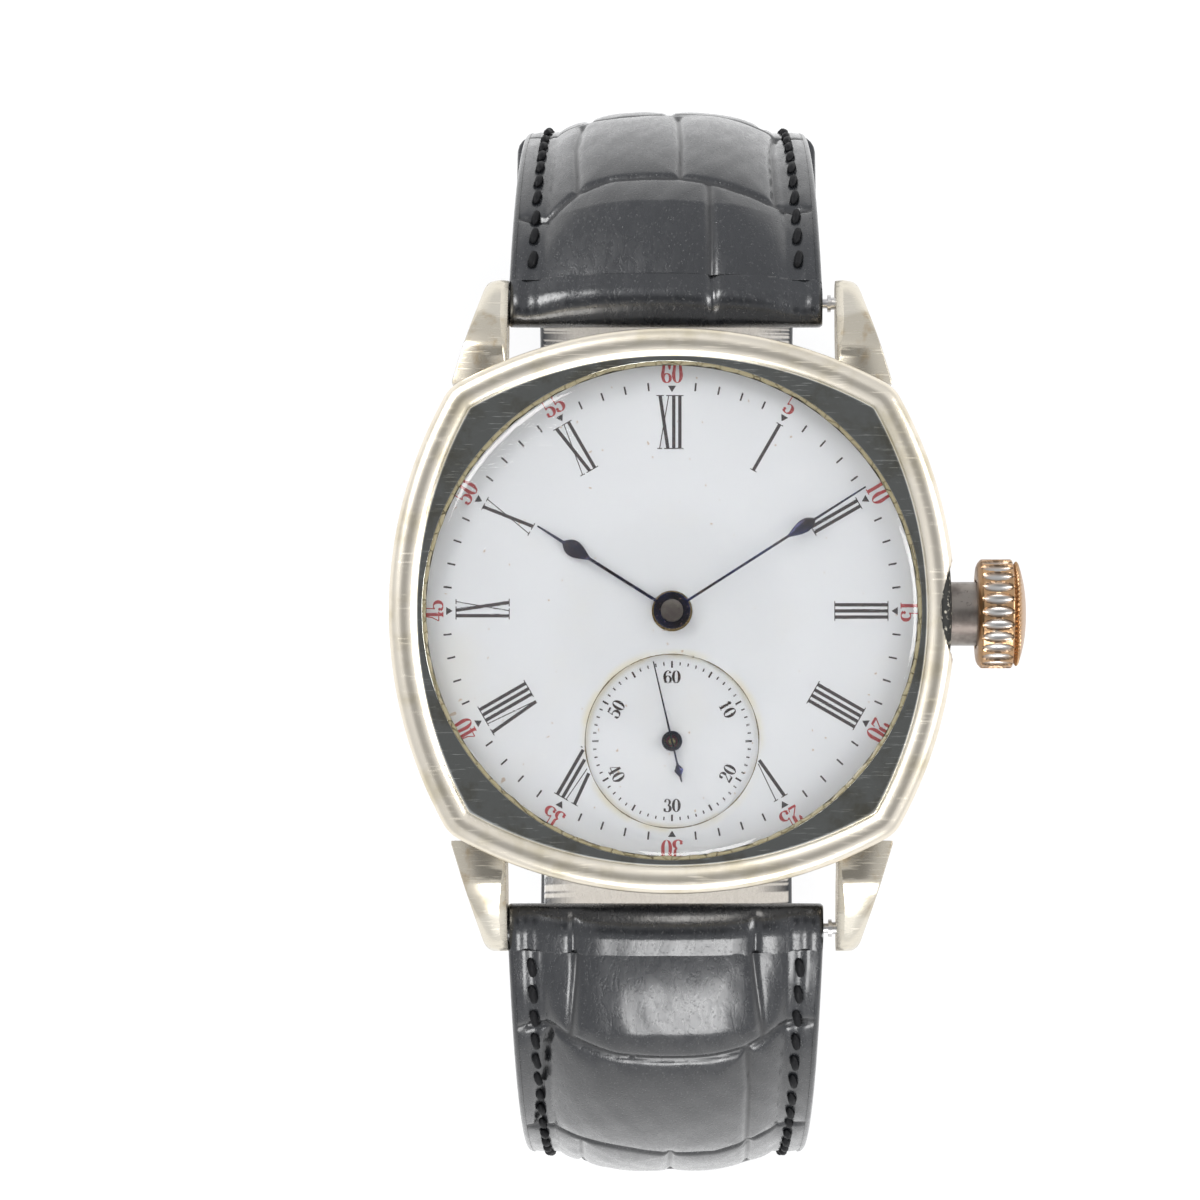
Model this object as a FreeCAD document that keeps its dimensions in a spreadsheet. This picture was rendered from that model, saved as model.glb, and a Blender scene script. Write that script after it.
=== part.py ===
import FreeCAD, Part
import math
import os
import Sketcher

# Cushion case wristwatch with its leather strap closed in a loop.
# The dial faces +Z, 12 o'clock is +Y and the crown is +X. The loop stands on Z = 0.
# Heights inside the case are measured up from the outer plane of the case back.

SIZES = [
    ("back_height", 45.0, "case back above the plane the closed strap stands on"),
    # case
    ("case_width", 30.5, "bezel across its flats"),
    ("side_radius", 23.8, "bulge of each side seen from the front"),
    ("corner_radius", 2.0, "rounding of the cushion's corners"),
    ("case_height", 9.2, "case back to the top of the bezel's bead"),
    ("bezel_seat", 6.75, "joint between the band and the bezel"),
    ("back_seat", 2.2, "joint between the back and the band"),
    ("band_inset", 0.15, "band set in from the bezel"),
    ("bead_width", 1.5, "bright bead round the bezel"),
    ("bead_rise", 0.4, "bead above the flat land"),
    ("bead_round", 0.95, "outer rounding of the bead"),
    ("opening_radius", 13.4, "round opening in the bezel"),
    ("glass_ledge", 0.2, "step that carries the glass"),
    ("ledge_height", 0.45, "thickness of that step"),
    ("glass_seat", 8.0, "height of the step's top face"),
    ("bezel_bore", 14.45, "inside of the bezel below the step"),
    ("lip_wall", 0.3, "wall of the snap lips"),
    ("lip_height", 0.55, "height of the snap lips"),
    ("snap_clearance", 0.03, "lip to bore"),
    ("back_floor", 0.7, "thickness of the case back"),
    ("back_slope", 1.3, "sloped edge of the case back"),
    ("crown_recess_radius", 3.9, "notch for the crown in the bezel"),
    ("crown_recess_depth", 0.75, "depth of that notch"),
    # glass
    ("glass_clearance", 0.03, "glass to its opening"),
    ("glass_edge_height", 0.7, "height of the glass edge"),
    ("glass_rise", 1.7, "dome above the edge"),
    ("glass_wall", 0.6, "thickness of the glass"),
    ("cement_width", 0.26, "visible ring of cement"),
    ("cement_height", 0.24, "depth of that ring"),
    # lugs and spring bars
    ("lug_gap", 18.0, "between the inner faces of the lugs"),
    ("lug_reach", 3.2, "lug tip past the case's outline"),
    ("lug_root_width", 3.0, "lug width at the case"),
    ("lug_tip_width", 1.2, "lug width at the tip"),
    ("lug_root_top", 6.3, "front face of the lug at the case"),
    ("lug_tip_top", 3.7, "front face of the lug at the tip"),
    ("lug_tip_bottom", 1.1, "back face of the lug at the tip"),
    ("bar_offset", 1.95, "spring bar past the case's outline"),
    ("bar_height", 2.5, "spring bar above the case back"),
    ("bar_tube_radius", 0.75, "spring bar tube"),
    ("bar_tube_length", 15.6, "spring bar tube"),
    ("bar_tip_radius", 0.34, "sprung tip"),
    ("bar_collar_radius", 0.48, "collar on the tip"),
    ("bar_tip_depth", 0.8, "tip in the lug's hole"),
    ("bar_tip_travel", 0.9, "travel of the sprung tip"),
    ("running_clearance", 0.05, "radial, between turning parts"),
    # crown and stem
    ("stem_height", 3.9, "stem axis above the case back"),
    ("stem_radius", 0.5, "winding stem"),
    ("tube_radius", 1.75, "pendant tube outside"),
    ("tube_bore", 0.62, "pendant tube bore"),
    ("tube_shank_radius", 1.05, "pendant tube inside the band"),
    ("tube_neck", 1.5, "pendant tube past the case's outline"),
    ("crown_radius", 2.98, "over the ridges"),
    ("crown_overlap", 0.13, "how far the pushed crown comes over the tube"),
    ("crown_length", 2.73, "inner face to domed end"),
    ("crown_flute_length", 1.55, "length of the flutes"),
    ("crown_flute_depth", 0.2, "depth of the flutes"),
    ("crown_flute_half", 0.33, "half the width of the flutes"),
    ("crown_skirt_bore", 1.9, "recess of the crown over the tube"),
    ("crown_pull", 1.1, "travel of the crown to set the hands"),
    # dial and hands
    ("dial_radius", 13.9, "enamel dial"),
    ("dial_seat", 6.35, "underside of the dial"),
    ("dial_thickness", 1.0, "copper and enamel"),
    ("dial_hole_radius", 1.1, "centre hole"),
    ("seconds_offset", 7.0, "seconds axis below the centre"),
    ("seconds_dial_radius", 4.67, "sunk seconds disc"),
    ("seconds_dial_sink", 0.3, "disc below the dial's face"),
    ("seconds_hole_radius", 0.4, "hole in the seconds disc"),
    ("hand_thickness", 0.14, "pressed steel"),
    ("hour_hand_height", 7.6, "underside of the hour hand"),
    ("minute_hand_height", 7.92, "underside of the minute hand"),
    ("seconds_hand_height", 7.2, "underside of the seconds hand"),
    ("hour_hand_length", 8.55, "axis to tip"),
    ("minute_hand_length", 12.35, "axis to tip"),
    ("seconds_hand_length", 4.4, "axis to tip"),
    ("hub_radius", 0.99, "minute hand hub"),
    ("cannon_radius", 0.6, "cannon pinion tube"),
    # straps
    ("strap_root_width", 17.3, "strap at the spring bars"),
    ("strap_end_width", 16.0, "strap at the buckle"),
    ("strap_shift", -0.35, "strap pushed to the left between the lugs"),
    ("strap_tube_radius", 1.4, "strap end round the spring bar"),
    ("strap_edge", 1.9, "stitched edge, thickness at the lugs"),
    ("strap_pad", 1.5, "padding above the stitched edge"),
    ("strap_thin", 1.8, "thickness at the buckle"),
    ("stitch_margin", 1.9, "flat margin beside the padding"),
    ("loop_flat", 10.0, "half of the straight run at the buckle"),
    ("loop_side", 19.6, "how far the sides stand out past that run"),
    ("short_level", 4.15, "middle of the upper strap above the ground, at the buckle"),
    ("tail_level", 2.15, "middle of the lower strap there"),
    ("front_bar_level", 2.65, "middle of the lower strap at the buckle's front bar"),
    ("strap_gap", 0.15, "between the two straps"),
    ("tail_turn", 80.0, "degrees round the side where the tail ends"),
    ("keeper_turn", 58.0, "degrees round the side at the free keeper"),
    ("keeper_width", 5.0, "along the strap"),
    ("keeper_wall", 0.9, "leather of the keepers"),
    ("keeper_play", 0.35, "keeper to the straps"),
    ("keeper_slide", 1.5, "slide of the free keeper each way"),
    ("strap_hole_radius", 1.0, "punched holes"),
    ("tongue_hole_start", 0.0, "inner end of the hole the tongue goes through"),
    ("tongue_hole_length", 2.2, "along the strap"),
    # buckle
    ("buckle_axis", 3.0, "heel bar, towards 12 o'clock from the middle"),
    ("buckle_front", -9.6, "front bar, towards 6 o'clock"),
    ("buckle_wire", 0.78, "radius of the frame's wire"),
    ("buckle_bar_radius", 0.6, "heel bar"),
    ("buckle_side_play", 0.45, "strap edge to the frame"),
    ("tongue_width", 1.5, "tongue"),
    ("tongue_thickness", 0.5, "tongue"),
    # movement plates
    ("plate_bottom", 4.9, "train side of the main plate"),
    ("plate_top", 6.25, "dial side of the main plate"),
    ("plate_radius", 13.4, "main plate"),
    ("flange_radius", 13.95, "flange of the main plate, resting in the band"),
    ("flange_thickness", 0.65, "that flange"),
    ("bridge_bottom", 1.1, "outer face of the bridges"),
    ("bridge_top", 2.2, "inner face of the bridges"),
    ("bridge_seam", 0.3, "gap between two bridges"),
    ("pillar_radius", 0.85, "feet of the bridges"),
    ("pillar_circle", 12.3, "feet from the centre"),
    ("screw_radius", 0.35, "bridge screws"),
    ("screw_head_radius", 0.62, "bridge screws"),
    ("jewel_radius", 0.5, "pressed jewels"),
    ("jewel_thickness", 0.3, "pressed jewels"),
    ("pivot_clearance", 0.02, "pivot to jewel"),
    ("motion_recess", 0.85, "depth of the recess for the motion work"),
    # wheels: tooth counts and pitch, a pitch being pitch diameter over teeth
    ("barrel_teeth", 75, "mainspring barrel"),
    ("centre_leaves", 10, "centre pinion"),
    ("barrel_pitch", 0.155, "barrel and centre pinion"),
    ("barrel_angle", 60.0, "degrees from 3 o'clock to the barrel"),
    ("centre_teeth", 64, "centre wheel"),
    ("third_leaves", 8, "third pinion"),
    ("centre_pitch", 0.14, "centre wheel and third pinion"),
    ("third_teeth", 60, "third wheel"),
    ("fourth_leaves", 8, "fourth pinion"),
    ("third_pitch", 0.12, "third wheel and fourth pinion"),
    ("fourth_teeth", 70, "fourth wheel"),
    ("escape_leaves", 7, "escape pinion"),
    ("fourth_pitch", 0.1, "fourth wheel and escape pinion"),
    ("escape_angle", 165.0, "degrees from 3 o'clock, fourth wheel to escape wheel"),
    ("escape_teeth", 15, "escape wheel"),
    ("escape_radius", 2.2, "escape wheel tips"),
    ("pallet_angle", 130.0, "degrees from 3 o'clock, escape wheel to pallet fork"),
    ("pallet_distance", 2.66, "escape wheel to pallet fork"),
    ("fork_angle", 110.0, "degrees from 3 o'clock, pallet fork to balance"),
    ("fork_length", 2.9, "pallet fork to balance"),
    ("balance_radius", 4.55, "balance rim outside"),
    ("balance_rim", 0.45, "width of the rim"),
    ("cannon_leaves", 12, "cannon pinion"),
    ("minute_teeth", 36, "minute wheel"),
    ("minute_leaves", 10, "minute pinion"),
    ("hour_teeth", 40, "hour wheel"),
    ("motion_pitch", 0.12, "cannon pinion and minute wheel"),
    ("minute_angle", 20.0, "degrees from 3 o'clock to the minute wheel"),
    ("setting_teeth", 22, "setting wheel"),
    ("winding_teeth", 20, "winding pinion"),
    ("crown_wheel_teeth", 26, "crown wheel"),
    ("ratchet_teeth", 47, "ratchet wheel"),
    ("winding_pitch", 0.2, "winding pinion, crown wheel and ratchet wheel"),
    ("wheel_thickness", 0.22, "brass wheels"),
    ("arbor_radius", 0.18, "steel arbors"),
    ("winding_pinion_start", 9.9, "inner end of the winding pinion, from the dial's centre"),
    ("winding_pinion_length", 1.3, "winding pinion"),
    ("clutch_length", 1.6, "sliding clutch"),
    ("clutch_radius", 1.1, "sliding clutch"),
    ("lever_pin", 0.22, "pin of the setting lever"),
    ("lever_arm", 3.0, "setting lever, pivot to pin"),
    ("yoke_arm", 4.3, "clutch lever, pivot to tongue"),
]

doc = FreeCAD.newDocument("CushionWatch")
sheet = doc.addObject("Spreadsheet::Sheet", "Sizes")
for row, (alias, length, note) in enumerate(SIZES, start=1):
    sheet.set(f"A{row}", alias)
    sheet.set(f"B{row}", str(length))
    sheet.set(f"C{row}", note)
    sheet.setAlias(f"B{row}", alias)
doc.recompute()


class Size:
    """A number with the sheet expression that gives it."""

    def __init__(self, number, text):
        self.number = number
        self.text = text

    def __float__(self):
        return self.number

    def __add__(self, other):
        return Size(self.number + float(other), f"({self.text} + {text_of(other)})")

    def __radd__(self, other):
        return Size(float(other) + self.number, f"({text_of(other)} + {self.text})")

    def __sub__(self, other):
        return Size(self.number - float(other), f"({self.text} - {text_of(other)})")

    def __rsub__(self, other):
        return Size(float(other) - self.number, f"({text_of(other)} - {self.text})")

    def __mul__(self, other):
        return Size(self.number * float(other), f"({self.text} * {text_of(other)})")

    def __rmul__(self, other):
        return Size(float(other) * self.number, f"({text_of(other)} * {self.text})")

    def __truediv__(self, other):
        return Size(self.number / float(other), f"({self.text} / {text_of(other)})")

    def __neg__(self):
        return Size(-self.number, f"(-1 * {self.text})")


def text_of(length):
    """The expression of a Size, or a plain number as text."""
    return length.text if isinstance(length, Size) else repr(float(length))


def size(alias):
    """A driving dimension from the sheet."""
    return Size(float(sheet.get(alias)), f"Sizes.{alias}")


def bind(item, path, length):
    """Ties one property of an object to the sheet."""
    item.setExpression(path, text_of(length))


def place(item, x=0.0, y=0.0, z=0.0):
    """Puts an object at a point given by sizes."""
    item.Placement.Base = FreeCAD.Vector(float(x), float(y), float(z))
    for axis, length in (("x", x), ("y", y), ("z", z)):
        if isinstance(length, Size):
            bind(item, f"Placement.Base.{axis}", length)
    return item


# Sketches and features

def new_body(name):
    body = doc.addObject("PartDesign::Body", name)
    body.Label = name
    return body


def origin_plane(body, role):
    return next(item for item in body.Origin.OriginFeatures if item.Role == role)


def new_sketch(body, name, role="XY_Plane", offset=0.0):
    """A sketch on an origin plane of its body, lifted along the plane's normal."""
    sketch = body.newObject("Sketcher::SketchObject", name)
    sketch.AttachmentSupport = [(origin_plane(body, role), "")]
    sketch.MapMode = "FlatFace"
    sketch.AttachmentOffset.Base.z = float(offset)
    if isinstance(offset, Size):
        bind(sketch, "AttachmentOffset.Base.z", offset)
    return sketch


def fix_coordinate(sketch, kind, axis, edge, end, length):
    """Ties one coordinate of an edge's end to a size."""
    if abs(float(length)) < 1e-9:
        sketch.addConstraint(Sketcher.Constraint("PointOnObject", edge, end, axis))
        return
    index = sketch.addConstraint(Sketcher.Constraint(kind, edge, end, float(length)))
    if isinstance(length, Size):
        bind(sketch, f"Constraints[{index}]", length)


def draw_outline(sketch, corners, bulges=None):
    """A closed outline. bulges gives the radius of the side that leaves a corner,
    positive where the side bends to the right of its direction."""
    bulges = bulges or {}
    vertical_axis, horizontal_axis = -2, -1
    points = [FreeCAD.Vector(float(x), float(y), 0) for x, y in corners]
    ends = []
    for index, start in enumerate(points):
        stop = points[(index + 1) % len(points)]
        if index not in bulges:
            edge = sketch.addGeometry(Part.LineSegment(start, stop), False)
            ends.append((edge, 1, 2))
            continue
        radius = abs(float(bulges[index]))
        side = 1 if float(bulges[index]) > 0 else -1
        middle = (start + stop) * 0.5
        along = stop - start
        across = FreeCAD.Vector(along.y, -along.x, 0).normalize()
        depth = math.sqrt(radius**2 - (along.Length / 2)**2)
        centre = middle - across * depth * side
        low, high = (start, stop) if side > 0 else (stop, start)
        turns = [math.atan2(end.y - centre.y, end.x - centre.x) for end in (low, high)]
        circle = Part.Circle(centre, FreeCAD.Vector(0, 0, 1), radius)
        edge = sketch.addGeometry(Part.ArcOfCircle(circle, *turns), False)
        ends.append((edge, 1, 2) if side > 0 else (edge, 2, 1))
    for index, (edge, first, last) in enumerate(ends):
        after, after_first, _ = ends[(index + 1) % len(ends)]
        sketch.addConstraint(Sketcher.Constraint("Coincident", edge, last, after, after_first))
        x, y = corners[index]
        fix_coordinate(sketch, "DistanceX", vertical_axis, edge, first, x)
        fix_coordinate(sketch, "DistanceY", horizontal_axis, edge, first, y)
        if index in bulges:
            radius = bulges[index] if float(bulges[index]) > 0 else -bulges[index]
            number = sketch.addConstraint(Sketcher.Constraint("Radius", edge, float(radius)))
            if isinstance(radius, Size):
                bind(sketch, f"Constraints[{number}]", radius)
    return sketch


def draw_circle(sketch, radius, x=0.0, y=0.0):
    centre = FreeCAD.Vector(float(x), float(y), 0)
    edge = sketch.addGeometry(Part.Circle(centre, FreeCAD.Vector(0, 0, 1), float(radius)), False)
    fix_coordinate(sketch, "DistanceX", -2, edge, 3, x)
    fix_coordinate(sketch, "DistanceY", -1, edge, 3, y)
    number = sketch.addConstraint(Sketcher.Constraint("Radius", edge, float(radius)))
    if isinstance(radius, Size):
        bind(sketch, f"Constraints[{number}]", radius)
    return sketch


def draw_cushion(sketch, half_width, radius):
    """Four arcs bulging from a square, their centres on the axes."""
    reach = float(radius) - float(half_width)
    corner = (-reach + math.sqrt(2 * float(radius)**2 - reach**2)) / 2
    spread = math.atan2(corner, corner + reach)
    edges = []
    for quarter in range(4):
        turn = quarter * math.pi / 2
        centre = FreeCAD.Vector(-reach * math.cos(turn), -reach * math.sin(turn), 0)
        circle = Part.Circle(centre, FreeCAD.Vector(0, 0, 1), float(radius))
        arc = Part.ArcOfCircle(circle, turn - spread, turn + spread)
        edges.append(sketch.addGeometry(arc, False))
    offset = radius - half_width
    for quarter, edge in enumerate(edges):
        after = edges[(quarter + 1) % 4]
        sketch.addConstraint(Sketcher.Constraint("Coincident", edge, 2, after, 1))
        away = offset if quarter >= 2 else -offset
        if quarter % 2 == 0:
            sketch.addConstraint(Sketcher.Constraint("PointOnObject", edge, 3, -1))
            fix_coordinate(sketch, "DistanceX", -2, edge, 3, away)
        else:
            sketch.addConstraint(Sketcher.Constraint("PointOnObject", edge, 3, -2))
            fix_coordinate(sketch, "DistanceY", -1, edge, 3, away)
        number = sketch.addConstraint(Sketcher.Constraint("Radius", edge, float(radius)))
        bind(sketch, f"Constraints[{number}]", radius)
    return sketch


def pad(body, sketch, length, backwards=False):
    feature = body.newObject("PartDesign::Pad", f"{sketch.Name}_pad")
    feature.Profile = sketch
    feature.Length = float(length)
    bind(feature, "Length", length)
    feature.Reversed = backwards
    return feature


def pocket(body, sketch, length, backwards=False):
    feature = body.newObject("PartDesign::Pocket", f"{sketch.Name}_cut")
    feature.Profile = sketch
    feature.Length = float(length)
    bind(feature, "Length", length)
    feature.Reversed = backwards
    return feature


def revolve(body, name, corners, bulges=None, axis="V_Axis", cut=False):
    """Turns a profile of (radius, height) corners about the piece's axis."""
    sketch = draw_outline(new_sketch(body, name, "XZ_Plane"), corners, bulges)
    kind = "Groove" if cut else "Revolution"
    feature = body.newObject(f"PartDesign::{kind}", f"{name}_turned")
    feature.Profile = sketch
    feature.ReferenceAxis = (sketch, [axis])
    feature.Angle = 360
    return feature


def pick_edges(feature, wanted):
    """Names of the edges of a feature whose middle point and direction are wanted."""
    names = []
    for number, edge in enumerate(feature.Shape.Edges, start=1):
        first, last = edge.ParameterRange
        middle = edge.valueAt((first + last) / 2)
        if wanted(edge, middle):
            names.append(f"Edge{number}")
    return names


def round_edges(body, base, name, radius, wanted, kind="Fillet"):
    doc.recompute()
    feature = body.newObject(f"PartDesign::{kind}", name)
    feature.Base = (base, pick_edges(base, wanted))
    path = "Radius" if kind == "Fillet" else "Size"
    setattr(feature, path, float(radius))
    bind(feature, path, radius)
    return feature


def is_upright(edge):
    ends = [vertex.Point for vertex in edge.Vertexes]
    if len(ends) != 2:
        return False
    return math.hypot(ends[0].x - ends[1].x, ends[0].y - ends[1].y) < 1e-6


def cushion_edge(height, outer):
    """Chooses the edges at one height on the case's outline, or well inside it."""
    reach = float(side_radius) - float(half_case)

    def wanted(edge, middle):
        level = abs(middle.z - float(height)) < 1e-4 and edge.BoundBox.ZLength < 1e-2
        sides = [(middle.x + reach, middle.y), (middle.x - reach, middle.y),
                 (middle.x, middle.y + reach), (middle.x, middle.y - reach)]
        inward = float(side_radius) - max(math.hypot(x, y) for x, y in sides)
        near = inward < float(size("bead_width")) / 2
        return level and (near if outer else not near)
    return wanted


# Plain shapes, for pieces whose form is a formula

def rod(radius, start, length, axis=(0, 0, 1)):
    return Part.makeCylinder(float(radius), float(length), FreeCAD.Vector(*start),
                             FreeCAD.Vector(*axis))


def polygon_prism(points, bottom, thickness):
    wire = Part.makePolygon([FreeCAD.Vector(x, y, float(bottom)) for x, y in points + points[:1]])
    return Part.Face(wire).extrude(FreeCAD.Vector(0, 0, float(thickness)))


def add_shape(name, shape, x=0.0, y=0.0, z=0.0):
    item = doc.addObject("Part::Feature", name)
    item.Label = name
    item.Shape = shape
    return place(item, x, y, z)


TO_CROWN = FreeCAD.Rotation(FreeCAD.Vector(0, 1, 0), 90)


def lay_on_stem(item, start):
    """Turns a piece made along Z onto the stem's axis, its foot at a distance from the centre."""
    item.Placement.Rotation = TO_CROWN
    return place(item, x=start, z=back_height + stem_height)


case_width = size("case_width")
side_radius = size("side_radius")
corner_radius = size("corner_radius")
case_height = size("case_height")
bezel_seat = size("bezel_seat")
back_seat = size("back_seat")
back_height = size("back_height")
half_case = case_width / 2
opening_radius = size("opening_radius")
bezel_bore = size("bezel_bore")
lip_wall = size("lip_wall")
lip_height = size("lip_height")
snap_clearance = size("snap_clearance")
running = size("running_clearance")
stem_height = size("stem_height")
bar_reach = half_case + size("bar_offset")
tube_reach = half_case + size("tube_neck")
crown_start = tube_reach - size("crown_overlap")
beyond = 3.0


def make_bezel():
    """The front ring: a rounded bead round a flat land, with a step for the glass."""
    body = new_body("bezel")
    bead_width = size("bead_width")
    land = case_height - size("bead_rise")
    step_top = size("glass_seat")
    step_bottom = step_top - size("ledge_height")
    step_radius = opening_radius - size("glass_ledge")
    ring = draw_cushion(new_sketch(body, "bezel_outline", offset=bezel_seat), half_case, side_radius)
    block = pad(body, ring, case_height - bezel_seat)
    round_edges(body, block, "bezel_corners", corner_radius, lambda edge, _: is_upright(edge))
    floor = new_sketch(body, "bezel_land", offset=case_height)
    draw_cushion(floor, half_case - bead_width, side_radius - bead_width)
    land_cut = pocket(body, floor, size("bead_rise"))

    def land_corner(edge, middle):
        return is_upright(edge) and edge.BoundBox.ZMin > float(land) - 0.1

    round_edges(body, land_cut, "land_corners", corner_radius - bead_width, land_corner)
    inside = revolve(body, "bezel_inside", [
        (0.0, bezel_seat - beyond),
        (bezel_bore, bezel_seat - beyond),
        (bezel_bore, step_bottom),
        (step_radius, step_bottom),
        (step_radius, step_top),
        (opening_radius, step_top),
        (opening_radius, case_height + beyond),
        (0.0, case_height + beyond),
    ], cut=True)
    outer = round_edges(body, inside, "bead_outside", size("bead_round"),
                        cushion_edge(case_height, outer=True))
    round_edges(body, outer, "bead_inside", size("bead_rise") * 0.8,
                cushion_edge(case_height, outer=False), kind="Chamfer")
    notch = new_sketch(body, "crown_notch", "YZ_Plane", half_case - size("crown_recess_depth"))
    draw_circle(notch, size("crown_recess_radius"), 0.0, stem_height)
    pocket(body, notch, 5.0, backwards=True)
    place(body, z=back_height)
    return body



def make_case_middle():
    """The band that holds the movement, with the four lugs soldered to it."""
    body = new_body("case_middle")
    inset = size("band_inset")
    ring = draw_cushion(new_sketch(body, "band_outline", offset=back_seat),
                        half_case - inset, side_radius - inset)
    block = pad(body, ring, bezel_seat - back_seat)
    round_edges(body, block, "band_corners", corner_radius, lambda edge, _: is_upright(edge))
    lip_outside = bezel_bore - snap_clearance
    lip_inside = lip_outside - lip_wall
    revolve(body, "bezel_lip", [
        (lip_inside, bezel_seat - lip_height),
        (lip_outside, bezel_seat - lip_height),
        (lip_outside, bezel_seat + lip_height),
        (lip_inside, bezel_seat + lip_height),
    ])
    add_lugs(body)
    ledge = size("plate_top") - size("flange_thickness")
    movement_bore = size("plate_radius") + lip_wall / 2
    revolve(body, "band_inside", [
        (0.0, back_seat - beyond),
        (back_bore, back_seat - beyond),
        (back_bore, back_seat + lip_height + running),
        (movement_bore, back_seat + lip_height + running),
        (movement_bore, ledge),
        (lip_inside, ledge),
        (lip_inside, bezel_seat + beyond),
        (0.0, bezel_seat + beyond),
    ], cut=True)
    stem_hole = new_sketch(body, "stem_hole", "YZ_Plane", movement_bore - beyond)
    draw_circle(stem_hole, size("tube_shank_radius"), 0.0, stem_height)
    pocket(body, stem_hole, beyond * 2, backwards=True)
    return place(body, z=back_height)


def add_lugs(body):
    """One lug from its side profile, tapered from the front, and its three mirrors."""
    gap = size("lug_gap") / 2
    root_width = size("lug_root_width")
    tip_width = size("lug_tip_width")
    reach = half_case + size("lug_reach")
    tip_top = size("lug_tip_top")
    tip_bottom = size("lug_tip_bottom")
    root = half_case - 3.2
    side = new_sketch(body, "lug_side", "YZ_Plane", gap)
    draw_outline(side, [
        (root, back_seat + 0.05),
        (half_case - 1.65, back_seat + 0.05),
        (half_case - 0.2, tip_bottom + 0.4),
        (reach - 0.7, tip_bottom - 0.25),
        (reach, tip_bottom + 0.35),
        (reach, tip_top - 0.6),
        (reach - 0.45, tip_top),
        (half_case - 0.2, size("lug_root_top")),
        (root, size("lug_root_top")),
    ], {6: -9.0})
    horn = pad(body, side, root_width)
    plan = new_sketch(body, "lug_taper")
    draw_outline(plan, [
        (gap + tip_width, reach + 0.5),
        (gap + root_width, half_case - 1.2),
        (gap + root_width + 1.0, half_case - 1.2),
        (gap + root_width + 1.0, reach + 0.5),
    ], {0: -16.0})
    taper = pocket(body, plan, case_height, backwards=True)
    bore = new_sketch(body, "bar_socket", "YZ_Plane", gap - 0.5)
    draw_circle(bore, size("bar_tip_radius") + running, bar_reach, size("bar_height"))
    socket = pocket(body, bore, size("bar_tip_depth") + 0.5 + running * 2, backwards=True)
    doc.recompute()
    copies = body.newObject("PartDesign::MultiTransform", "other_lugs")
    copies.Originals = [horn, taper, socket]
    mirrors = []
    for role in ("YZ_Plane", "XZ_Plane"):
        mirror = body.newObject("PartDesign::Mirrored", f"lugs_over_{role[:2]}")
        mirror.MirrorPlane = (origin_plane(body, role), [""])
        mirrors.append(mirror)
    copies.Transformations = mirrors
    body.Tip = copies


def make_case_back():
    """The snap-on cover against the wrist: a shallow cushion dish with a lip."""
    body = new_body("case_back")
    inset = size("band_inset")
    outline = draw_cushion(new_sketch(body, "back_outline"), half_case - inset, side_radius - inset)
    block = pad(body, outline, back_seat)
    corners = round_edges(body, block, "back_corners", corner_radius, lambda edge, _: is_upright(edge))
    round_edges(body, corners, "back_slope", size("back_slope"),
                cushion_edge(0.0, outer=True), kind="Chamfer")
    lip_outside = back_bore - snap_clearance
    lip_inside = lip_outside - lip_wall
    revolve(body, "back_lip", [
        (lip_inside, back_seat - lip_height),
        (lip_outside, back_seat - lip_height),
        (lip_outside, back_seat + lip_height),
        (lip_inside, back_seat + lip_height),
    ])
    revolve(body, "back_inside", [
        (0.0, size("back_floor")),
        (lip_inside - 0.6, size("back_floor")),
        (lip_inside, size("back_floor") + 0.6),
        (lip_inside, back_seat + beyond),
        (0.0, back_seat + beyond),
    ], cut=True)
    return place(body, z=back_height)


def make_crystal():
    """A low dome of glass, hollowed in flats behind, with a slope round its front."""
    body = new_body("crystal")
    outside = opening_radius - size("glass_clearance")
    seat = size("glass_seat")
    edge_top = seat + size("glass_edge_height")
    rise = size("glass_rise")
    wall = size("glass_wall")
    shoulder = outside - size("cement_width")
    outer_dome = (shoulder * shoulder + rise * rise) / (rise * 2)
    inner_edge = outside - wall
    revolve(body, "glass_profile", [
        (0.0, edge_top + rise - wall * 1.4),
        (inner_edge * 0.4, edge_top + rise - wall * 1.4),
        (inner_edge * 0.75, edge_top + rise * 0.45 - wall * 0.85),
        (inner_edge, edge_top - wall),
        (inner_edge, seat),
        (outside, seat),
        (outside, edge_top - size("cement_height")),
        (shoulder, edge_top),
        (0.0, edge_top + rise),
    ], {7: outer_dome})
    return place(body, z=back_height)


def make_cement():
    """Old cement that fills the corner between the glass and the bezel."""
    body = new_body("crystal_cement")
    outside = opening_radius - size("glass_clearance")
    top = size("glass_seat") + size("glass_edge_height")
    height = size("cement_height")
    width = size("cement_width")
    revolve(body, "cement_profile", [
        (outside + 0.0, top - height),
        (opening_radius, top - height),
        (opening_radius, top + height * 0.3),
        (outside - width, top),
    ])
    return place(body, z=back_height)


def make_tube():
    """The neck in the band that guides the stem."""
    body = new_body("pendant_tube")
    start = size("plate_radius") + lip_wall
    neck = half_case - size("band_inset") + running - start
    length = tube_reach - start
    revolve(body, "tube_profile", [
        (size("tube_bore"), 0.0),
        (size("tube_shank_radius"), 0.0),
        (size("tube_shank_radius"), neck),
        (size("tube_radius"), neck),
        (size("tube_radius"), length),
        (size("tube_bore"), length),
    ])
    return lay_on_stem(body, start)


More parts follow.
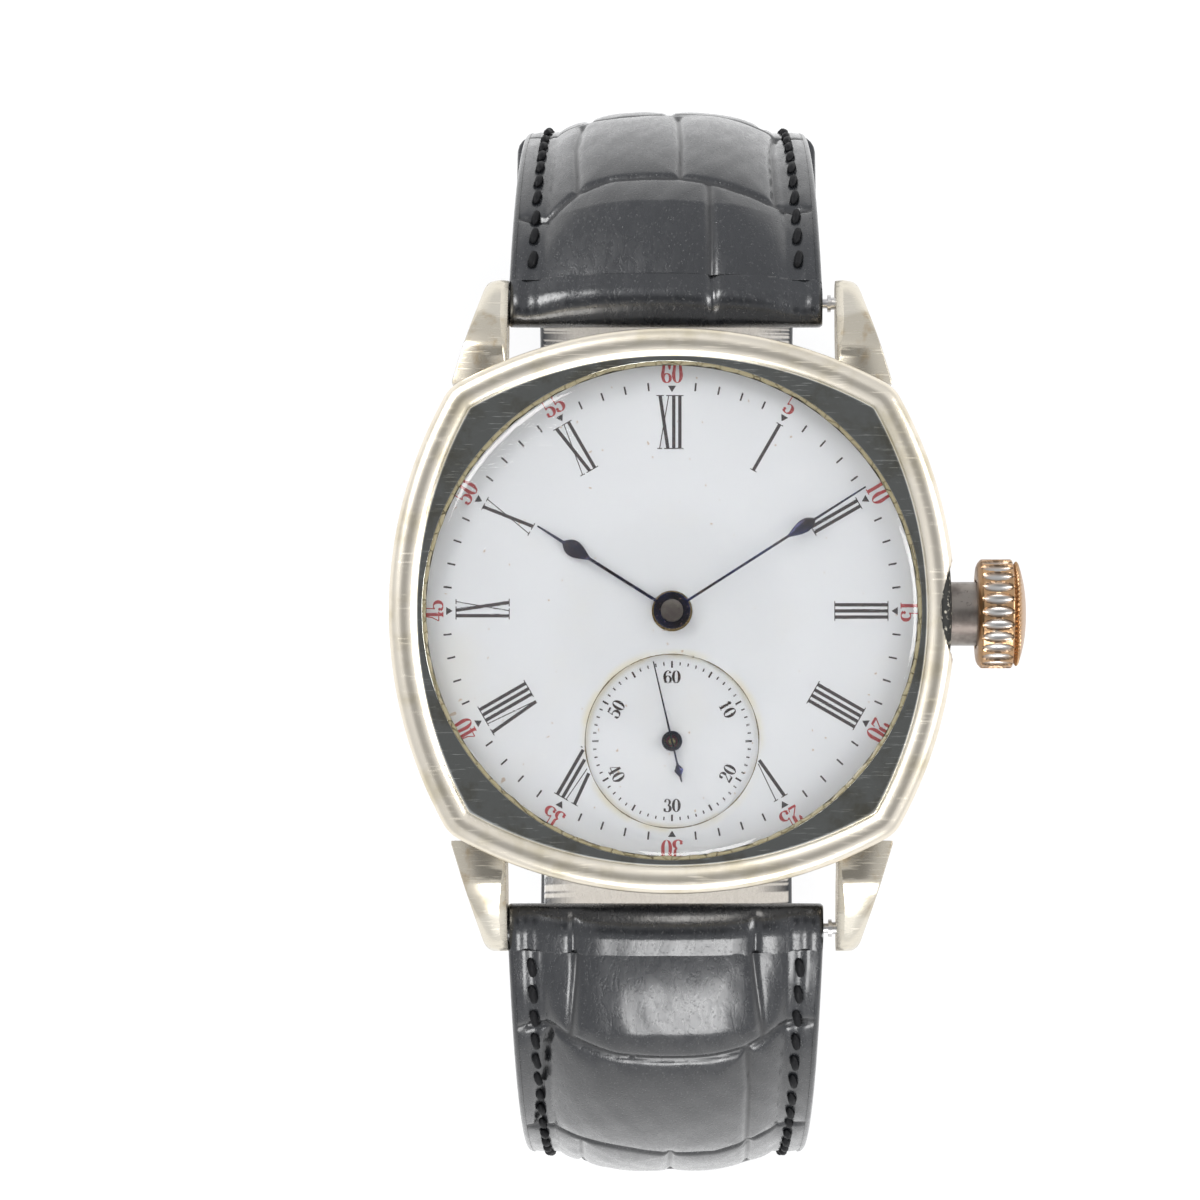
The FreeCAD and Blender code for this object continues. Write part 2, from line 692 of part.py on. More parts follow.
def make_crown():
    """The fluted winding button, with a groove and a domed end."""
    body = new_body("crown")
    radius = size("crown_radius")
    length = size("crown_length")
    ring = length - 0.62
    revolve(body, "crown_profile", [
        (0.0, 1.3),
        (size("stem_radius"), 1.3),
        (size("stem_radius"), 0.45),
        (size("crown_skirt_bore"), 0.45),
        (size("crown_skirt_bore"), 0.0),
        (radius - 0.35, 0.0),
        (radius, 0.2),
        (radius, ring),
        (radius - 0.33, ring + 0.12),
        (radius - 0.33, ring + 0.3),
        (radius - 0.2, ring + 0.3),
        (radius - 0.75, length - 0.12),
        (0.0, length),
    ])
    groove = new_sketch(body, "flute", offset=0.22)
    draw_outline(groove, [
        (radius - size("crown_flute_depth"), 0.0),
        (radius + 0.1, -size("crown_flute_half")),
        (radius + 0.1, size("crown_flute_half")),
    ])
    flute = pocket(body, groove, size("crown_flute_length"), backwards=True)
    doc.recompute()
    flutes = body.newObject("PartDesign::PolarPattern", "flutes")
    flutes.Originals = [flute]
    flutes.Axis = (origin_axis(body, "Z_Axis"), [""])
    flutes.Angle = 360
    flutes.Occurrences = FLUTES
    body.Tip = flutes
    return lay_on_stem(body, crown_start)


def origin_axis(body, role):
    return next(item for item in body.Origin.OriginFeatures if item.Role == role)


FLUTES = 26
back_bore = bezel_bore - lip_wall


def make_stem():
    """The turned stem: pilot, clutch run, pinion run, lever groove and hub."""
    body = new_body("stem")
    radius = size("stem_radius")
    pilot = clutch_start - 1.6
    groove = lever_groove_start - pilot
    revolve(body, "stem_profile", [
        (0.0, 0.0),
        (radius / 2, 0.0),
        (radius / 2, 0.8),
        (radius, 0.8),
        (radius, groove),
        (radius / 2, groove),
        (radius / 2, groove + groove_width),
        (radius, groove + groove_width),
        (radius, crown_start + 1.3 - pilot),
        (0.0, crown_start + 1.3 - pilot),
    ])
    return lay_on_stem(body, pilot)


clutch_start = size("winding_pinion_start") - size("clutch_length") - 0.15
groove_width = size("lever_pin") * 2 + 0.2
lever_groove_start = size("winding_pinion_start") + size("winding_pinion_length") + 0.35

# Dial and hands

def make_dial():
    """The enamelled disc with its seconds opening and two feet."""
    body = new_body("dial")
    seat = size("dial_seat")
    thickness = size("dial_thickness")
    disc = new_sketch(body, "dial_disc", offset=seat)
    draw_circle(disc, size("dial_radius"))
    draw_circle(disc, size("dial_hole_radius"))
    draw_circle(disc, size("seconds_dial_radius"), 0.0, -size("seconds_offset"))
    pad(body, disc, thickness)
    feet = new_sketch(body, "dial_feet", offset=seat)
    for x, y in DIAL_FEET:
        draw_circle(feet, dial_foot_radius, x, y)
    foot = body.newObject("PartDesign::Pad", "dial_feet_pad")
    foot.Profile = feet
    foot.Length = float(dial_foot_length)
    foot.Reversed = True
    foot.Refine = True
    return place(body, z=back_height)


DIAL_FEET = ((-10.2, 7.4), (8.4, -9.6))
dial_foot_radius = 0.4
dial_foot_length = 1.2


def make_seconds_dial():
    """The sunk disc for the seconds, soldered behind the dial's opening."""
    body = new_body("seconds_dial")
    top = size("dial_seat") + size("dial_thickness") - size("seconds_dial_sink")
    disc = new_sketch(body, "seconds_disc", offset=size("dial_seat"))
    draw_circle(disc, size("seconds_dial_radius"))
    draw_circle(disc, size("seconds_hole_radius"))
    pad(body, disc, top - size("dial_seat"))
    return place(body, y=-size("seconds_offset"), z=back_height)


def make_pear_hand(name, length, pear_start, pear_end, pear_half, height, clock_angle):
    """A pear hand: hub, thin stick, a drop that is widest towards the hub, and a long point."""
    body = new_body(name)
    stick = 0.07
    widest = pear_start + (pear_end - pear_start) * 0.38
    tip_half = 0.05
    hub = size("hub_radius")
    neck = hub - 0.06
    shape = new_sketch(body, f"{name}_outline")
    draw_outline(shape, [
        (stick, neck),
        (stick, pear_start),
        (pear_half, widest),
        (tip_half * 2, pear_end),
        (tip_half, length),
        (-tip_half, length),
        (-tip_half * 2, pear_end),
        (-pear_half, widest),
        (-stick, pear_start),
        (-stick, neck),
    ], {1: 0.75, 2: 2.4, 6: 2.4, 7: 0.75, 9: -hub})
    pad(body, shape, size("hand_thickness"))
    boss = new_sketch(body, f"{name}_hub")
    bore = cannon_bore_of(name)
    draw_circle(boss, hub)
    draw_circle(boss, bore)
    pad(body, boss, size("hand_thickness") + 0.06)
    body.Placement.Rotation = FreeCAD.Rotation(FreeCAD.Vector(0, 0, 1), -clock_angle)
    return place(body, z=back_height + height)


def cannon_bore_of(name):
    """The hole of a hand's hub: the minute hand sits on the cannon pinion, the hour hand on its pipe."""
    return size("cannon_radius") if name == "minute_hand" else hour_pipe_radius


hour_pipe_radius = size("cannon_radius") + running + 0.22
HOUR_CLOCK_ANGLE = 302.2
MINUTE_CLOCK_ANGLE = 57.4
SECONDS_CLOCK_ANGLE = 346.8


def make_seconds_hand():
    """A needle with a counterweight drop, on its own pipe."""
    body = new_body("seconds_hand")
    length = size("seconds_hand_length")
    outline = new_sketch(body, "seconds_outline")
    draw_outline(outline, [
        (0.045, 0.3),
        (0.03, length),
        (-0.03, length),
        (-0.045, 0.3),
        (-0.09, -0.3),
        (-0.26, -1.6),
        (0.0, -2.23),
        (0.26, -1.6),
        (0.09, -0.3),
    ])
    pad(body, outline, size("hand_thickness") * 0.8)
    hub = new_sketch(body, "seconds_hub")
    draw_circle(hub, 0.55)
    pad(body, hub, size("hand_thickness"))
    pipe = new_sketch(body, "seconds_pipe")
    draw_circle(pipe, 0.3)
    pipe_pad = pad(body, pipe, size("seconds_hand_height") - size("dial_seat") - 0.25, backwards=True)
    cap = new_sketch(body, "seconds_cap", offset=size("hand_thickness"))
    draw_circle(cap, 0.3)
    pad(body, cap, size("hand_thickness"))
    hole = new_sketch(body, "seconds_bore", offset=0.0)
    draw_circle(hole, fourth_post_radius)
    pocket(body, hole, 5.0)
    body.Placement.Rotation = FreeCAD.Rotation(FreeCAD.Vector(0, 0, 1), -SECONDS_CLOCK_ANGLE)
    return place(body, y=-size("seconds_offset"), z=back_height + size("seconds_hand_height"))


fourth_post_radius = 0.15


# Strap: a padded section carried round the loop

FLAT = float(size("loop_flat"))
SIDE = float(size("loop_side"))
BAR = (float(bar_reach), float(back_height + size("bar_height")))


class Loop:
    """The strap's middle line: a straight run at the foot, then an ellipse up to the spring bar.

    The ellipse's height is chosen so that it passes through the bar at the given level."""

    def __init__(self, side, level):
        self.side = side
        self.level = level
        lean = math.asin((BAR[0] - FLAT) / SIDE)
        self.top_turn = math.degrees(math.pi - lean)
        self.rise = (BAR[1] - level) / (1 + math.cos(lean))

    def at(self, turn, out=0.0):
        """Point at a turn in degrees, moved outwards, with its outward direction."""
        angle = math.radians(turn)
        along = (SIDE * math.cos(angle), self.rise * math.sin(angle))
        size_of = math.hypot(*along)
        normal = (along[1] / size_of, -along[0] / size_of)
        y = FLAT + SIDE * math.sin(angle) + normal[0] * out
        z = self.level + self.rise * (1 - math.cos(angle)) + normal[1] * out
        return (self.side * y, z), (self.side * normal[0], normal[1])

    def turns(self, first, last, count):
        return [first + (last - first) * step / (count - 1) for step in range(count)]


def strap_section(point, normal, width, edge, padding):
    """Closed wire across the strap: flat lining, upright edges, stitched margins and a crown."""
    shift = float(size("strap_shift"))
    margin = float(size("stitch_margin"))
    half = width / 2
    low = -edge / 2
    high = edge / 2

    def spot(x, out):
        return FreeCAD.Vector(shift + x, point[0] + normal[0] * out, point[1] + normal[1] * out)

    corners = [spot(-half, low), spot(half, low), spot(half, high), spot(half - margin, high + 0.05)]
    crown = spot(0, high + 0.05 + padding)
    far = [spot(-half + margin, high + 0.05), spot(-half, high)]
    edges = [Part.LineSegment(a, b).toShape() for a, b in zip(corners, corners[1:])]
    edges.append(Part.Arc(corners[-1], crown, far[0]).toShape())
    edges.append(Part.LineSegment(far[0], far[1]).toShape())
    edges.append(Part.LineSegment(far[1], corners[0]).toShape())
    return Part.Wire(edges)


def strap_width(share):
    """Width at a share of the way from the spring bar to the buckle: it narrows in the first part."""
    root = float(size("strap_root_width"))
    end = float(size("strap_end_width"))
    return end + (root - end) * max(0.0, 1 - share / 0.45)


def strap_sections(loop, turns):
    """Sections from the spring bar down the side to the straight run."""
    wires = []
    for turn in turns:
        share = 1 - turn / loop.top_turn
        swell = min(1.0, share / 0.12)
        fade = max(0.0, 1 - share * 1.02)
        thick = float(size("strap_thin")) + (float(size("strap_edge")) - float(size("strap_thin"))) * fade
        padding = 0.12 + float(size("strap_pad")) * swell * fade**0.7
        point, normal = loop.at(turn)
        wires.append(strap_section(point, normal, strap_width(share), thick, padding))
    return wires


def bar_tube(loop):
    """The strap's turned end round the spring bar."""
    width = float(size("strap_root_width"))
    start = float(size("strap_shift")) - width / 2
    return rod(size("strap_tube_radius"), (start, loop.side * BAR[0], BAR[1]), width, (1, 0, 0))


def bar_bore(side):
    """Room for the spring bar in the strap's end."""
    return rod(size("bar_tube_radius") + running, (-10, side * BAR[0], BAR[1]), 20, (1, 0, 0))


def make_upper_strap():
    """The short half, from the 12 o'clock bar to the heel bar of the buckle."""
    loop = Loop(1, float(size("short_level")))
    side = strap_sections(loop, loop.turns(loop.top_turn, 0, 13))
    thin = float(size("strap_thin"))
    heel = float(size("buckle_axis"))
    width = float(size("strap_end_width"))
    flat = [strap_section((y, loop.level), (0, -1), width, thin, 0.12) for y in (FLAT, heel)]
    body = Part.makeLoft(side, True, True).fuse(Part.makeLoft(flat, True, True))
    start = float(size("strap_shift")) - width / 2
    heel_end = rod(heel_wrap_radius, (start, heel, loop.level), width, (1, 0, 0))
    tongue_slot = Part.makeBox(tongue_slot_width, 4.0, 6.0, FreeCAD.Vector(
        float(size("strap_shift")) - tongue_slot_width / 2, heel - 2.6, loop.level - 3.0))
    heel_bore = rod(size("buckle_bar_radius") + running, (-20, heel, loop.level), 40, (1, 0, 0))
    shape = body.fuse([bar_tube(loop), heel_end]).cut([bar_bore(1), heel_bore, tongue_slot])
    return add_shape("strap_upper", shape.removeSplitter())


heel_wrap_radius = 1.0
tongue_slot_width = 2.1


def tail_offset(turn):
    """How far the tail's middle lies outside the upper strap's middle."""
    upper = Loop(1, float(size("short_level")))
    share = 1 - turn / upper.top_turn
    fade = max(0.0, 1 - share * 1.02)
    padding = 0.12 + float(size("strap_pad")) * fade**0.7
    thick = float(size("strap_thin")) + (float(size("strap_edge")) - float(size("strap_thin"))) * fade
    return thick / 2 + 0.05 + padding + float(size("strap_gap")) + float(size("strap_thin")) / 2


def make_lower_strap():
    """The long half: down the 6 o'clock side, through the buckle and up outside the short half."""
    front_level = float(size("front_bar_level"))
    loop = Loop(-1, front_level)
    thin = float(size("strap_thin"))
    width = float(size("strap_end_width"))
    side = strap_sections(loop, loop.turns(loop.top_turn, 0, 13))
    shape = Part.makeLoft(side, True, True)
    upper = Loop(1, float(size("short_level")))
    tail_level = upper.level - tail_offset(0)
    flat = [strap_section((y, z), (0, -1), width, thin, 0.12) for y, z in
            ((-FLAT, front_level), (-FLAT + 3.0, front_level), (0.0, tail_level), (FLAT, tail_level))]
    shape = shape.fuse(Part.makeLoft(flat, True, True))
    tail = []
    for turn in upper.turns(0, float(size("tail_turn")), 7):
        point, normal = upper.at(turn, tail_offset(turn))
        tail.append(strap_section(point, normal, width, thin, 0.12))
    shape = shape.fuse(Part.makeLoft(tail, True, True))
    shape = shape.fuse(bar_tube(loop)).cut(bar_bore(-1))
    hole = float(size("strap_hole_radius"))
    shift = float(size("strap_shift"))
    tongue_hole = Part.makeBox(hole * 2, float(size("tongue_hole_length")), thin * 3, FreeCAD.Vector(
        shift - hole, float(size("tongue_hole_start")), tail_level - thin * 1.5))
    holes = [tongue_hole]
    for turn in SPARE_HOLE_TURNS:
        point, normal = upper.at(turn, tail_offset(turn))
        start = (shift, point[0] - normal[0] * thin, point[1] - normal[1] * thin)
        holes.append(rod(hole, start, thin * 2, (0, normal[0], normal[1])))
    return add_shape("strap_lower", shape.cut(holes).removeSplitter())


SPARE_HOLE_TURNS = (8.0, 27.0)

# Spring bars

def make_spring_bar(name, side):
    """The tube of a spring bar, lying between two lugs."""
    body = new_body(name)
    half = size("bar_tube_length") / 2
    ring = new_sketch(body, f"{name}_section", "YZ_Plane", -half)
    reach = bar_reach if side > 0 else -bar_reach
    draw_circle(ring, size("bar_tube_radius"), reach, size("bar_height"))
    draw_circle(ring, size("bar_collar_radius") + running, reach, size("bar_height"))
    pad(body, ring, half * 2)
    return place(body, z=back_height)


def make_bar_tip(name, side, hand):
    """A sprung tip: plunger in the tube, neck, two collars and the pin in the lug."""
    body = new_body(name)
    collar = size("bar_collar_radius")
    pin = size("bar_tip_radius")
    neck = pin * 0.8
    start = size("bar_tube_length") / 2 - 1.5
    length = size("lug_gap") / 2 + size("bar_tip_depth") - start
    end = size("lug_gap") / 2 - start
    revolve(body, f"{name}_profile", [
        (0.0, 0.0),
        (collar, 0.0),
        (collar, 0.5),
        (neck, 0.5),
        (neck, end - 0.42),
        (collar, end - 0.42),
        (collar, end - 0.24),
        (pin, end - 0.24),
        (pin, length),
        (0.0, length),
    ])
    body.Placement.Rotation = FreeCAD.Rotation(FreeCAD.Vector(0, 1, 0), 90 * hand)
    reach = bar_reach if side > 0 else -bar_reach
    return place(body, start * hand, reach, back_height + size("bar_height"))


# Buckle and keepers

shift = float(size("strap_shift"))
half_strap = float(size("strap_end_width")) / 2
heel_y = float(size("buckle_axis"))
heel_z = float(size("short_level"))
arm_x = half_strap + float(size("buckle_side_play")) + float(size("buckle_wire"))


def make_buckle_frame():
    """A bent wire frame: front bar on the ground side, two rising arms and two eyes."""
    wire = float(size("buckle_wire"))
    front = (float(size("buckle_front")), wire)
    run = FreeCAD.Vector(0, heel_y - front[0], heel_z - front[1])
    solids = [rod(wire, (shift - arm_x, front[0], wire), arm_x * 2, (1, 0, 0))]
    eye = float(size("buckle_bar_radius")) + 0.65
    for hand in (-1, 1):
        x = shift + hand * arm_x
        corner = FreeCAD.Vector(x, front[0], wire)
        solids.append(Part.makeSphere(wire, corner))
        solids.append(rod(wire * 0.9, corner, run.Length, run))
        solids.append(rod(eye, (x - wire * 0.8, heel_y, heel_z), wire * 1.6, (1, 0, 0)))
    shape = solids[0].fuse(solids[1:])
    bore = rod(size("buckle_bar_radius") + running, (shift - 20, heel_y, heel_z), 40, (1, 0, 0))
    seat_width = float(size("tongue_width")) + 0.3
    seat = Part.makeBox(seat_width, wire * 4, tongue_seat, FreeCAD.Vector(
        shift - seat_width / 2, front[0] - wire * 2, 0))
    return add_shape("buckle_frame", shape.cut([bore, seat]).removeSplitter())


tongue_seat = 0.75


def make_buckle_bar():
    """The bar through the strap's heel and the frame's eyes."""
    bar = doc.addObject("Part::Cylinder", "buckle_bar")
    bar.Label = "buckle_bar"
    bind(bar, "Radius", size("buckle_bar_radius"))
    half = size("strap_end_width") / 2 + size("buckle_side_play") + size("buckle_wire") * 1.8
    bind(bar, "Height", half * 2)
    bar.Placement.Rotation = TO_CROWN
    return place(bar, size("strap_shift") - half, size("buckle_axis"), size("short_level"))


def make_buckle_tongue():
    """A flat pin that turns on the bar, goes through the strap and rests on the front bar."""
    thick = float(size("tongue_thickness"))
    width = float(size("tongue_width"))
    eye = float(size("buckle_bar_radius")) + thick + running.number
    start = shift - width / 2
    ring = rod(eye, (start, heel_y, heel_z), width, (1, 0, 0))
    tip = float(size("buckle_front")) - 0.6
    path = [(heel_y - eye * 0.5, heel_z + eye * 0.4), (heel_y - 1.7, heel_z - 0.95),
            (tongue_knee - 0.32, thick), (tip, thick * 0.7), (tip, 0.0), (tongue_knee, 0.0),
            (heel_y - 1.3, heel_z - 1.3), (heel_y - eye * 0.5, heel_z - eye * 0.6)]
    points = [FreeCAD.Vector(start, y, z) for y, z in path]
    blade = Part.Face(Part.makePolygon(points + points[:1])).extrude(FreeCAD.Vector(width, 0, 0))
    bore = rod(size("buckle_bar_radius") + running, (start - 1, heel_y, heel_z), width + 2, (1, 0, 0))
    return add_shape("buckle_tongue", ring.fuse(blade).cut(bore).removeSplitter())


tongue_knee = 0.35


def keeper_ring(low, high, play):
    """A leather loop seen along the strap: x across, z outwards, y along, centred on y."""
    wall = float(size("keeper_wall"))
    width = float(size("keeper_width"))
    inner = half_strap + play
    outside = Part.makeBox(2 * (inner + wall), width, high - low + 2 * wall,
                           FreeCAD.Vector(-inner - wall, -width / 2, low - wall))
    hollow = Part.makeBox(2 * inner, width + 2, high - low,
                          FreeCAD.Vector(-inner, -width / 2 - 1, low))
    ring = outside.cut(hollow)
    edges = [edge for edge in ring.Edges
             if abs(edge.BoundBox.YLength - width) < 1e-3 and abs(abs(edge.BoundBox.XMin) - inner) > 0.1]
    return ring.makeFillet(wall * 0.8, edges)


def make_fixed_keeper():
    """The sewn keeper next to the buckle, flat on the ground side."""
    wall = float(size("keeper_wall"))
    top = heel_z + float(size("strap_thin")) / 2 + 0.1
    ring = keeper_ring(wall - heel_z, top - heel_z, 0.1)
    return add_shape("fixed_keeper", ring, shift, FLAT - float(size("keeper_width")) / 2 - 0.2, heel_z)


def make_free_keeper():
    """The loose keeper round both straps on the 12 o'clock side."""
    turn = float(size("keeper_turn"))
    play = float(size("keeper_play"))
    upper = Loop(1, heel_z)
    point, normal = upper.at(turn)
    bend = (float(size("keeper_width")) / 2 + float(size("keeper_slide")))**2 / (2 * SIDE)
    inner = float(size("strap_edge")) / 2 + play + bend
    outer = tail_offset(turn) + float(size("strap_thin")) / 2 + 0.17 + play
    ring = keeper_ring(-outer, inner, play)
    item = add_shape("free_keeper", ring)
    lean = math.degrees(math.atan2(normal[0], -normal[1]))
    item.Placement.Rotation = FreeCAD.Rotation(FreeCAD.Vector(1, 0, 0), lean)
    return place(item, shift, point[0], point[1])


# Movement: where the axes are

def pitch_radius(teeth, pitch):
    return size(teeth) * size(pitch) / 2


def direction(angle):
    turn = math.radians(float(angle))
    return math.cos(turn), math.sin(turn)


def from_point(point, angle, distance):
    x, y = direction(angle)
    return (point[0] + x * float(distance), point[1] + y * float(distance))


def third_place():
    """Corner of the triangle of centre, third and fourth axes."""
    first = float(pitch_radius("centre_teeth", "centre_pitch")
                  + pitch_radius("third_leaves", "centre_pitch"))
    second = float(pitch_radius("third_teeth", "third_pitch")
                   + pitch_radius("fourth_leaves", "third_pitch"))
    span = float(size("seconds_offset"))
    y = -(first**2 - second**2 + span**2) / (2 * span)
    return (math.sqrt(first**2 - y**2), y)


CENTRE = (0.0, 0.0)
FOURTH = (0.0, -float(size("seconds_offset")))
THIRD = third_place()
BARREL = from_point(CENTRE, size("barrel_angle"),
                    pitch_radius("barrel_teeth", "barrel_pitch")
                    + pitch_radius("centre_leaves", "barrel_pitch"))
ESCAPE = from_point(FOURTH, size("escape_angle"),
                    pitch_radius("fourth_teeth", "fourth_pitch")
                    + pitch_radius("escape_leaves", "fourth_pitch"))
PALLET = from_point(ESCAPE, size("pallet_angle"), size("pallet_distance"))
BALANCE = from_point(PALLET, size("fork_angle"), size("fork_length"))
MINUTE = from_point(CENTRE, size("minute_angle"),
                    pitch_radius("cannon_leaves", "motion_pitch")
                    + pitch_radius("minute_teeth", "motion_pitch"))
WINDING_MIDDLE = float(size("winding_pinion_start") + size("winding_pinion_length") / 2)
CROWN_WHEEL = (WINDING_MIDDLE - float(pitch_radius("crown_wheel_teeth", "winding_pitch")), 0.0)
PILLARS = {"barrel_bridge": (22.0, 103.0), "train_bridge": (329.0, 286.0, 226.0)}
FOOT = 159.0

plate_bottom = size("plate_bottom")
plate_top = size("plate_top")
bridge_bottom = size("bridge_bottom")
bridge_top = size("bridge_top")
wheel_thickness = float(size("wheel_thickness"))
arbor_radius = float(size("arbor_radius"))


def toothed(teeth, radius, bottom, thickness, phase=0.0, height=None):
    """A wheel blank with pointed teeth: radius is the pitch radius, phase is in tooth spaces."""
    teeth = int(teeth)
    height = height or 2.0 * radius / teeth * 0.9
    points = []
    for number in range(teeth):
        tip = 2 * math.pi * (number + phase) / teeth
        root = tip + math.pi / teeth
        points.append(((radius + height * 0.42) * math.cos(tip), (radius + height * 0.42) * math.sin(tip)))
        points.append(((radius - height * 0.58) * math.cos(root), (radius - height * 0.58) * math.sin(root)))
    return polygon_prism(points, bottom, thickness)


def crossed(blank, rim, hub, arms, bottom):
    """Cuts the windows between the arms of a wheel."""
    ring = rod(rim, (0, 0, bottom - 1), 3).cut(rod(hub, (0, 0, bottom - 1), 3))
    width = rim * 0.12
    bars = []
    for number in range(arms):
        bar = Part.makeBox(rim * 1.1, width, 3, FreeCAD.Vector(0, -width / 2, bottom - 1))
        bar.rotate(FreeCAD.Vector(0, 0, 0), FreeCAD.Vector(0, 0, 1), 360 * number / arms)
        bars.append(bar)
    return blank.cut(ring.cut(bars))


def arbor(radius, low, high):
    return rod(radius, (0, 0, low), high - low)


TRAIN_LOW = float(bridge_top) - float(size("jewel_thickness")) + 0.02
TRAIN_HIGH = float(plate_bottom) + float(size("jewel_thickness")) - 0.02


def at_axis(name, shape, point):
    return add_shape(name, shape.removeSplitter(), point[0], point[1], back_height)


def angle_between(start, end):
    return math.atan2(end[1] - start[1], end[0] - start[0])


def phase_towards(own_teeth, start, end, shift=0.0):
    """Phase that points a tooth, or with 0.5 a space, of the wheel at start towards end."""
    return angle_between(start, end) * int(own_teeth) / (2 * math.pi) + shift


def make_barrel():
    """Mainspring barrel: a toothed drum with a lid, hollow for the spring."""
    teeth = int(float(size("barrel_teeth")))
    pitch = float(pitch_radius("barrel_teeth", "barrel_pitch"))
    phase = phase_towards(teeth, BARREL, CENTRE, 0.5)
    gear = toothed(teeth, pitch, barrel_teeth_low, 0.5, phase)
    drum = rod(pitch - 0.35, (0, 0, barrel_low), barrel_teeth_low - barrel_low + 0.1)
    hollow = rod(pitch - 0.7, (0, 0, barrel_low + 0.25), barrel_teeth_low - barrel_low - 0.1)
    bore = rod(barrel_arbor_radius + running.number, (0, 0, 0), 9)
    at_axis("mainspring_barrel", gear.fuse(drum).cut([hollow, bore]), BARREL)
    core = rod(barrel_arbor_radius, (0, 0, barrel_low - 0.05), float(TRAIN_HIGH) - 0.3 - barrel_low)
    post = rod(0.4, (0, 0, ratchet_low), float(TRAIN_HIGH) - ratchet_low)
    square = rod(0.6, (0, 0, ratchet_low), barrel_low - 0.05 - ratchet_low)
    at_axis("barrel_arbor", core.fuse([post, square]), BARREL)
    at_axis("mainspring", spiral(barrel_arbor_radius + 0.12, pitch - 0.85, 6, 12, 0.14,
                                 barrel_low + 0.35, barrel_teeth_low - barrel_low - 0.3), BARREL)


barrel_low = 2.75
barrel_teeth_low = 4.05
barrel_arbor_radius = 1.1
ratchet_low = 1.35
ratchet_thickness = 0.5


def spiral(inner, outer, turns, steps, strip, low, height):
    """A flat spiral strip: its two sides are spirals half a strip apart on each side."""
    count = turns * steps
    sides = []
    for offset in (-strip / 2, strip / 2):
        side = []
        for number in range(count + 1):
            angle = 2 * math.pi * number / steps
            radius = inner + (outer - inner) * number / count + offset
            side.append((radius * math.cos(angle), radius * math.sin(angle)))
        sides.append(side)
    return polygon_prism(sides[0] + sides[1][::-1], low, height)


def make_train():
    """Centre, third, fourth and escape wheels, each with its pinion on its arbor."""
    centre_radius = float(pitch_radius("centre_teeth", "centre_pitch"))
    leaves = int(float(size("centre_leaves")))
    pinion = float(pitch_radius("centre_leaves", "barrel_pitch"))
    wheel = toothed(size_count("centre_teeth"), centre_radius, 2.38, wheel_thickness,
                    phase_towards(size_count("centre_teeth"), CENTRE, THIRD))
    wheel = crossed(wheel, centre_radius - 0.65, 0.75, 5, 2.38)
    steel = toothed(leaves, pinion, 3.95, 0.75, phase_towards(leaves, CENTRE, BARREL))
    post = rod(0.42, (0, 0, 2.3), 2.4).fuse([rod(0.3, (0, 0, 1.3), float(size("minute_hand_height")) - 1.3)])
    at_axis("centre_wheel", wheel.fuse([steel, post]), CENTRE)

    third_radius = float(pitch_radius("third_teeth", "third_pitch"))
    wheel = toothed(size_count("third_teeth"), third_radius, 4.4, wheel_thickness,
                    phase_towards(size_count("third_teeth"), THIRD, FOURTH))
    wheel = crossed(wheel, third_radius - 0.55, 0.6, 4, 4.4)
    steel = toothed(size_count("third_leaves"), float(pitch_radius("third_leaves", "centre_pitch")),
                    2.3, 0.7, phase_towards(size_count("third_leaves"), THIRD, CENTRE, 0.5))
    at_axis("third_wheel", wheel.fuse([steel, arbor(arbor_radius, TRAIN_LOW, TRAIN_HIGH)]), THIRD)

    fourth_radius = float(pitch_radius("fourth_teeth", "fourth_pitch"))
    wheel = toothed(size_count("fourth_teeth"), fourth_radius, 2.95, wheel_thickness,
                    phase_towards(size_count("fourth_teeth"), FOURTH, ESCAPE))
    wheel = crossed(wheel, fourth_radius - 0.5, 0.55, 4, 2.95)
    steel = toothed(size_count("fourth_leaves"), float(pitch_radius("fourth_leaves", "third_pitch")),
                    4.15, 0.6, phase_towards(size_count("fourth_leaves"), FOURTH, THIRD, 0.5))
    post = rod(fourth_post_radius, (0, 0, TRAIN_HIGH - 0.4),
               float(size("seconds_hand_height")) - TRAIN_HIGH + 0.4)
    at_axis("fourth_wheel", wheel.fuse([steel, arbor(arbor_radius, TRAIN_LOW, TRAIN_HIGH), post]), FOURTH)

    steel = toothed(size_count("escape_leaves"), float(pitch_radius("escape_leaves", "fourth_pitch")),
                    2.75, 0.7, phase_towards(size_count("escape_leaves"), ESCAPE, FOURTH, 0.5))
    at_axis("escape_wheel", escape_blank().fuse([steel, arbor(arbor_radius, TRAIN_LOW, TRAIN_HIGH)]), ESCAPE)


def size_count(alias):
    return int(round(float(size(alias))))


def escape_blank():
    """Fifteen hooked teeth on a thin rim with four arms."""
    count = size_count("escape_teeth")
    tip = float(size("escape_radius"))
    rim = tip * 0.72
    points = []
    for number in range(count):
        turn = 2 * math.pi * number / count
        step = 2 * math.pi / count
        for radius, share in ((rim, 0.0), (tip, 0.34), (tip, 0.46), (rim, 0.5)):
            angle = turn + step * share
            points.append((radius * math.cos(angle), radius * math.sin(angle)))
    blank = polygon_prism(points, 3.62, 0.2)
    return crossed(blank, rim - 0.25, 0.45, 4, 3.62)


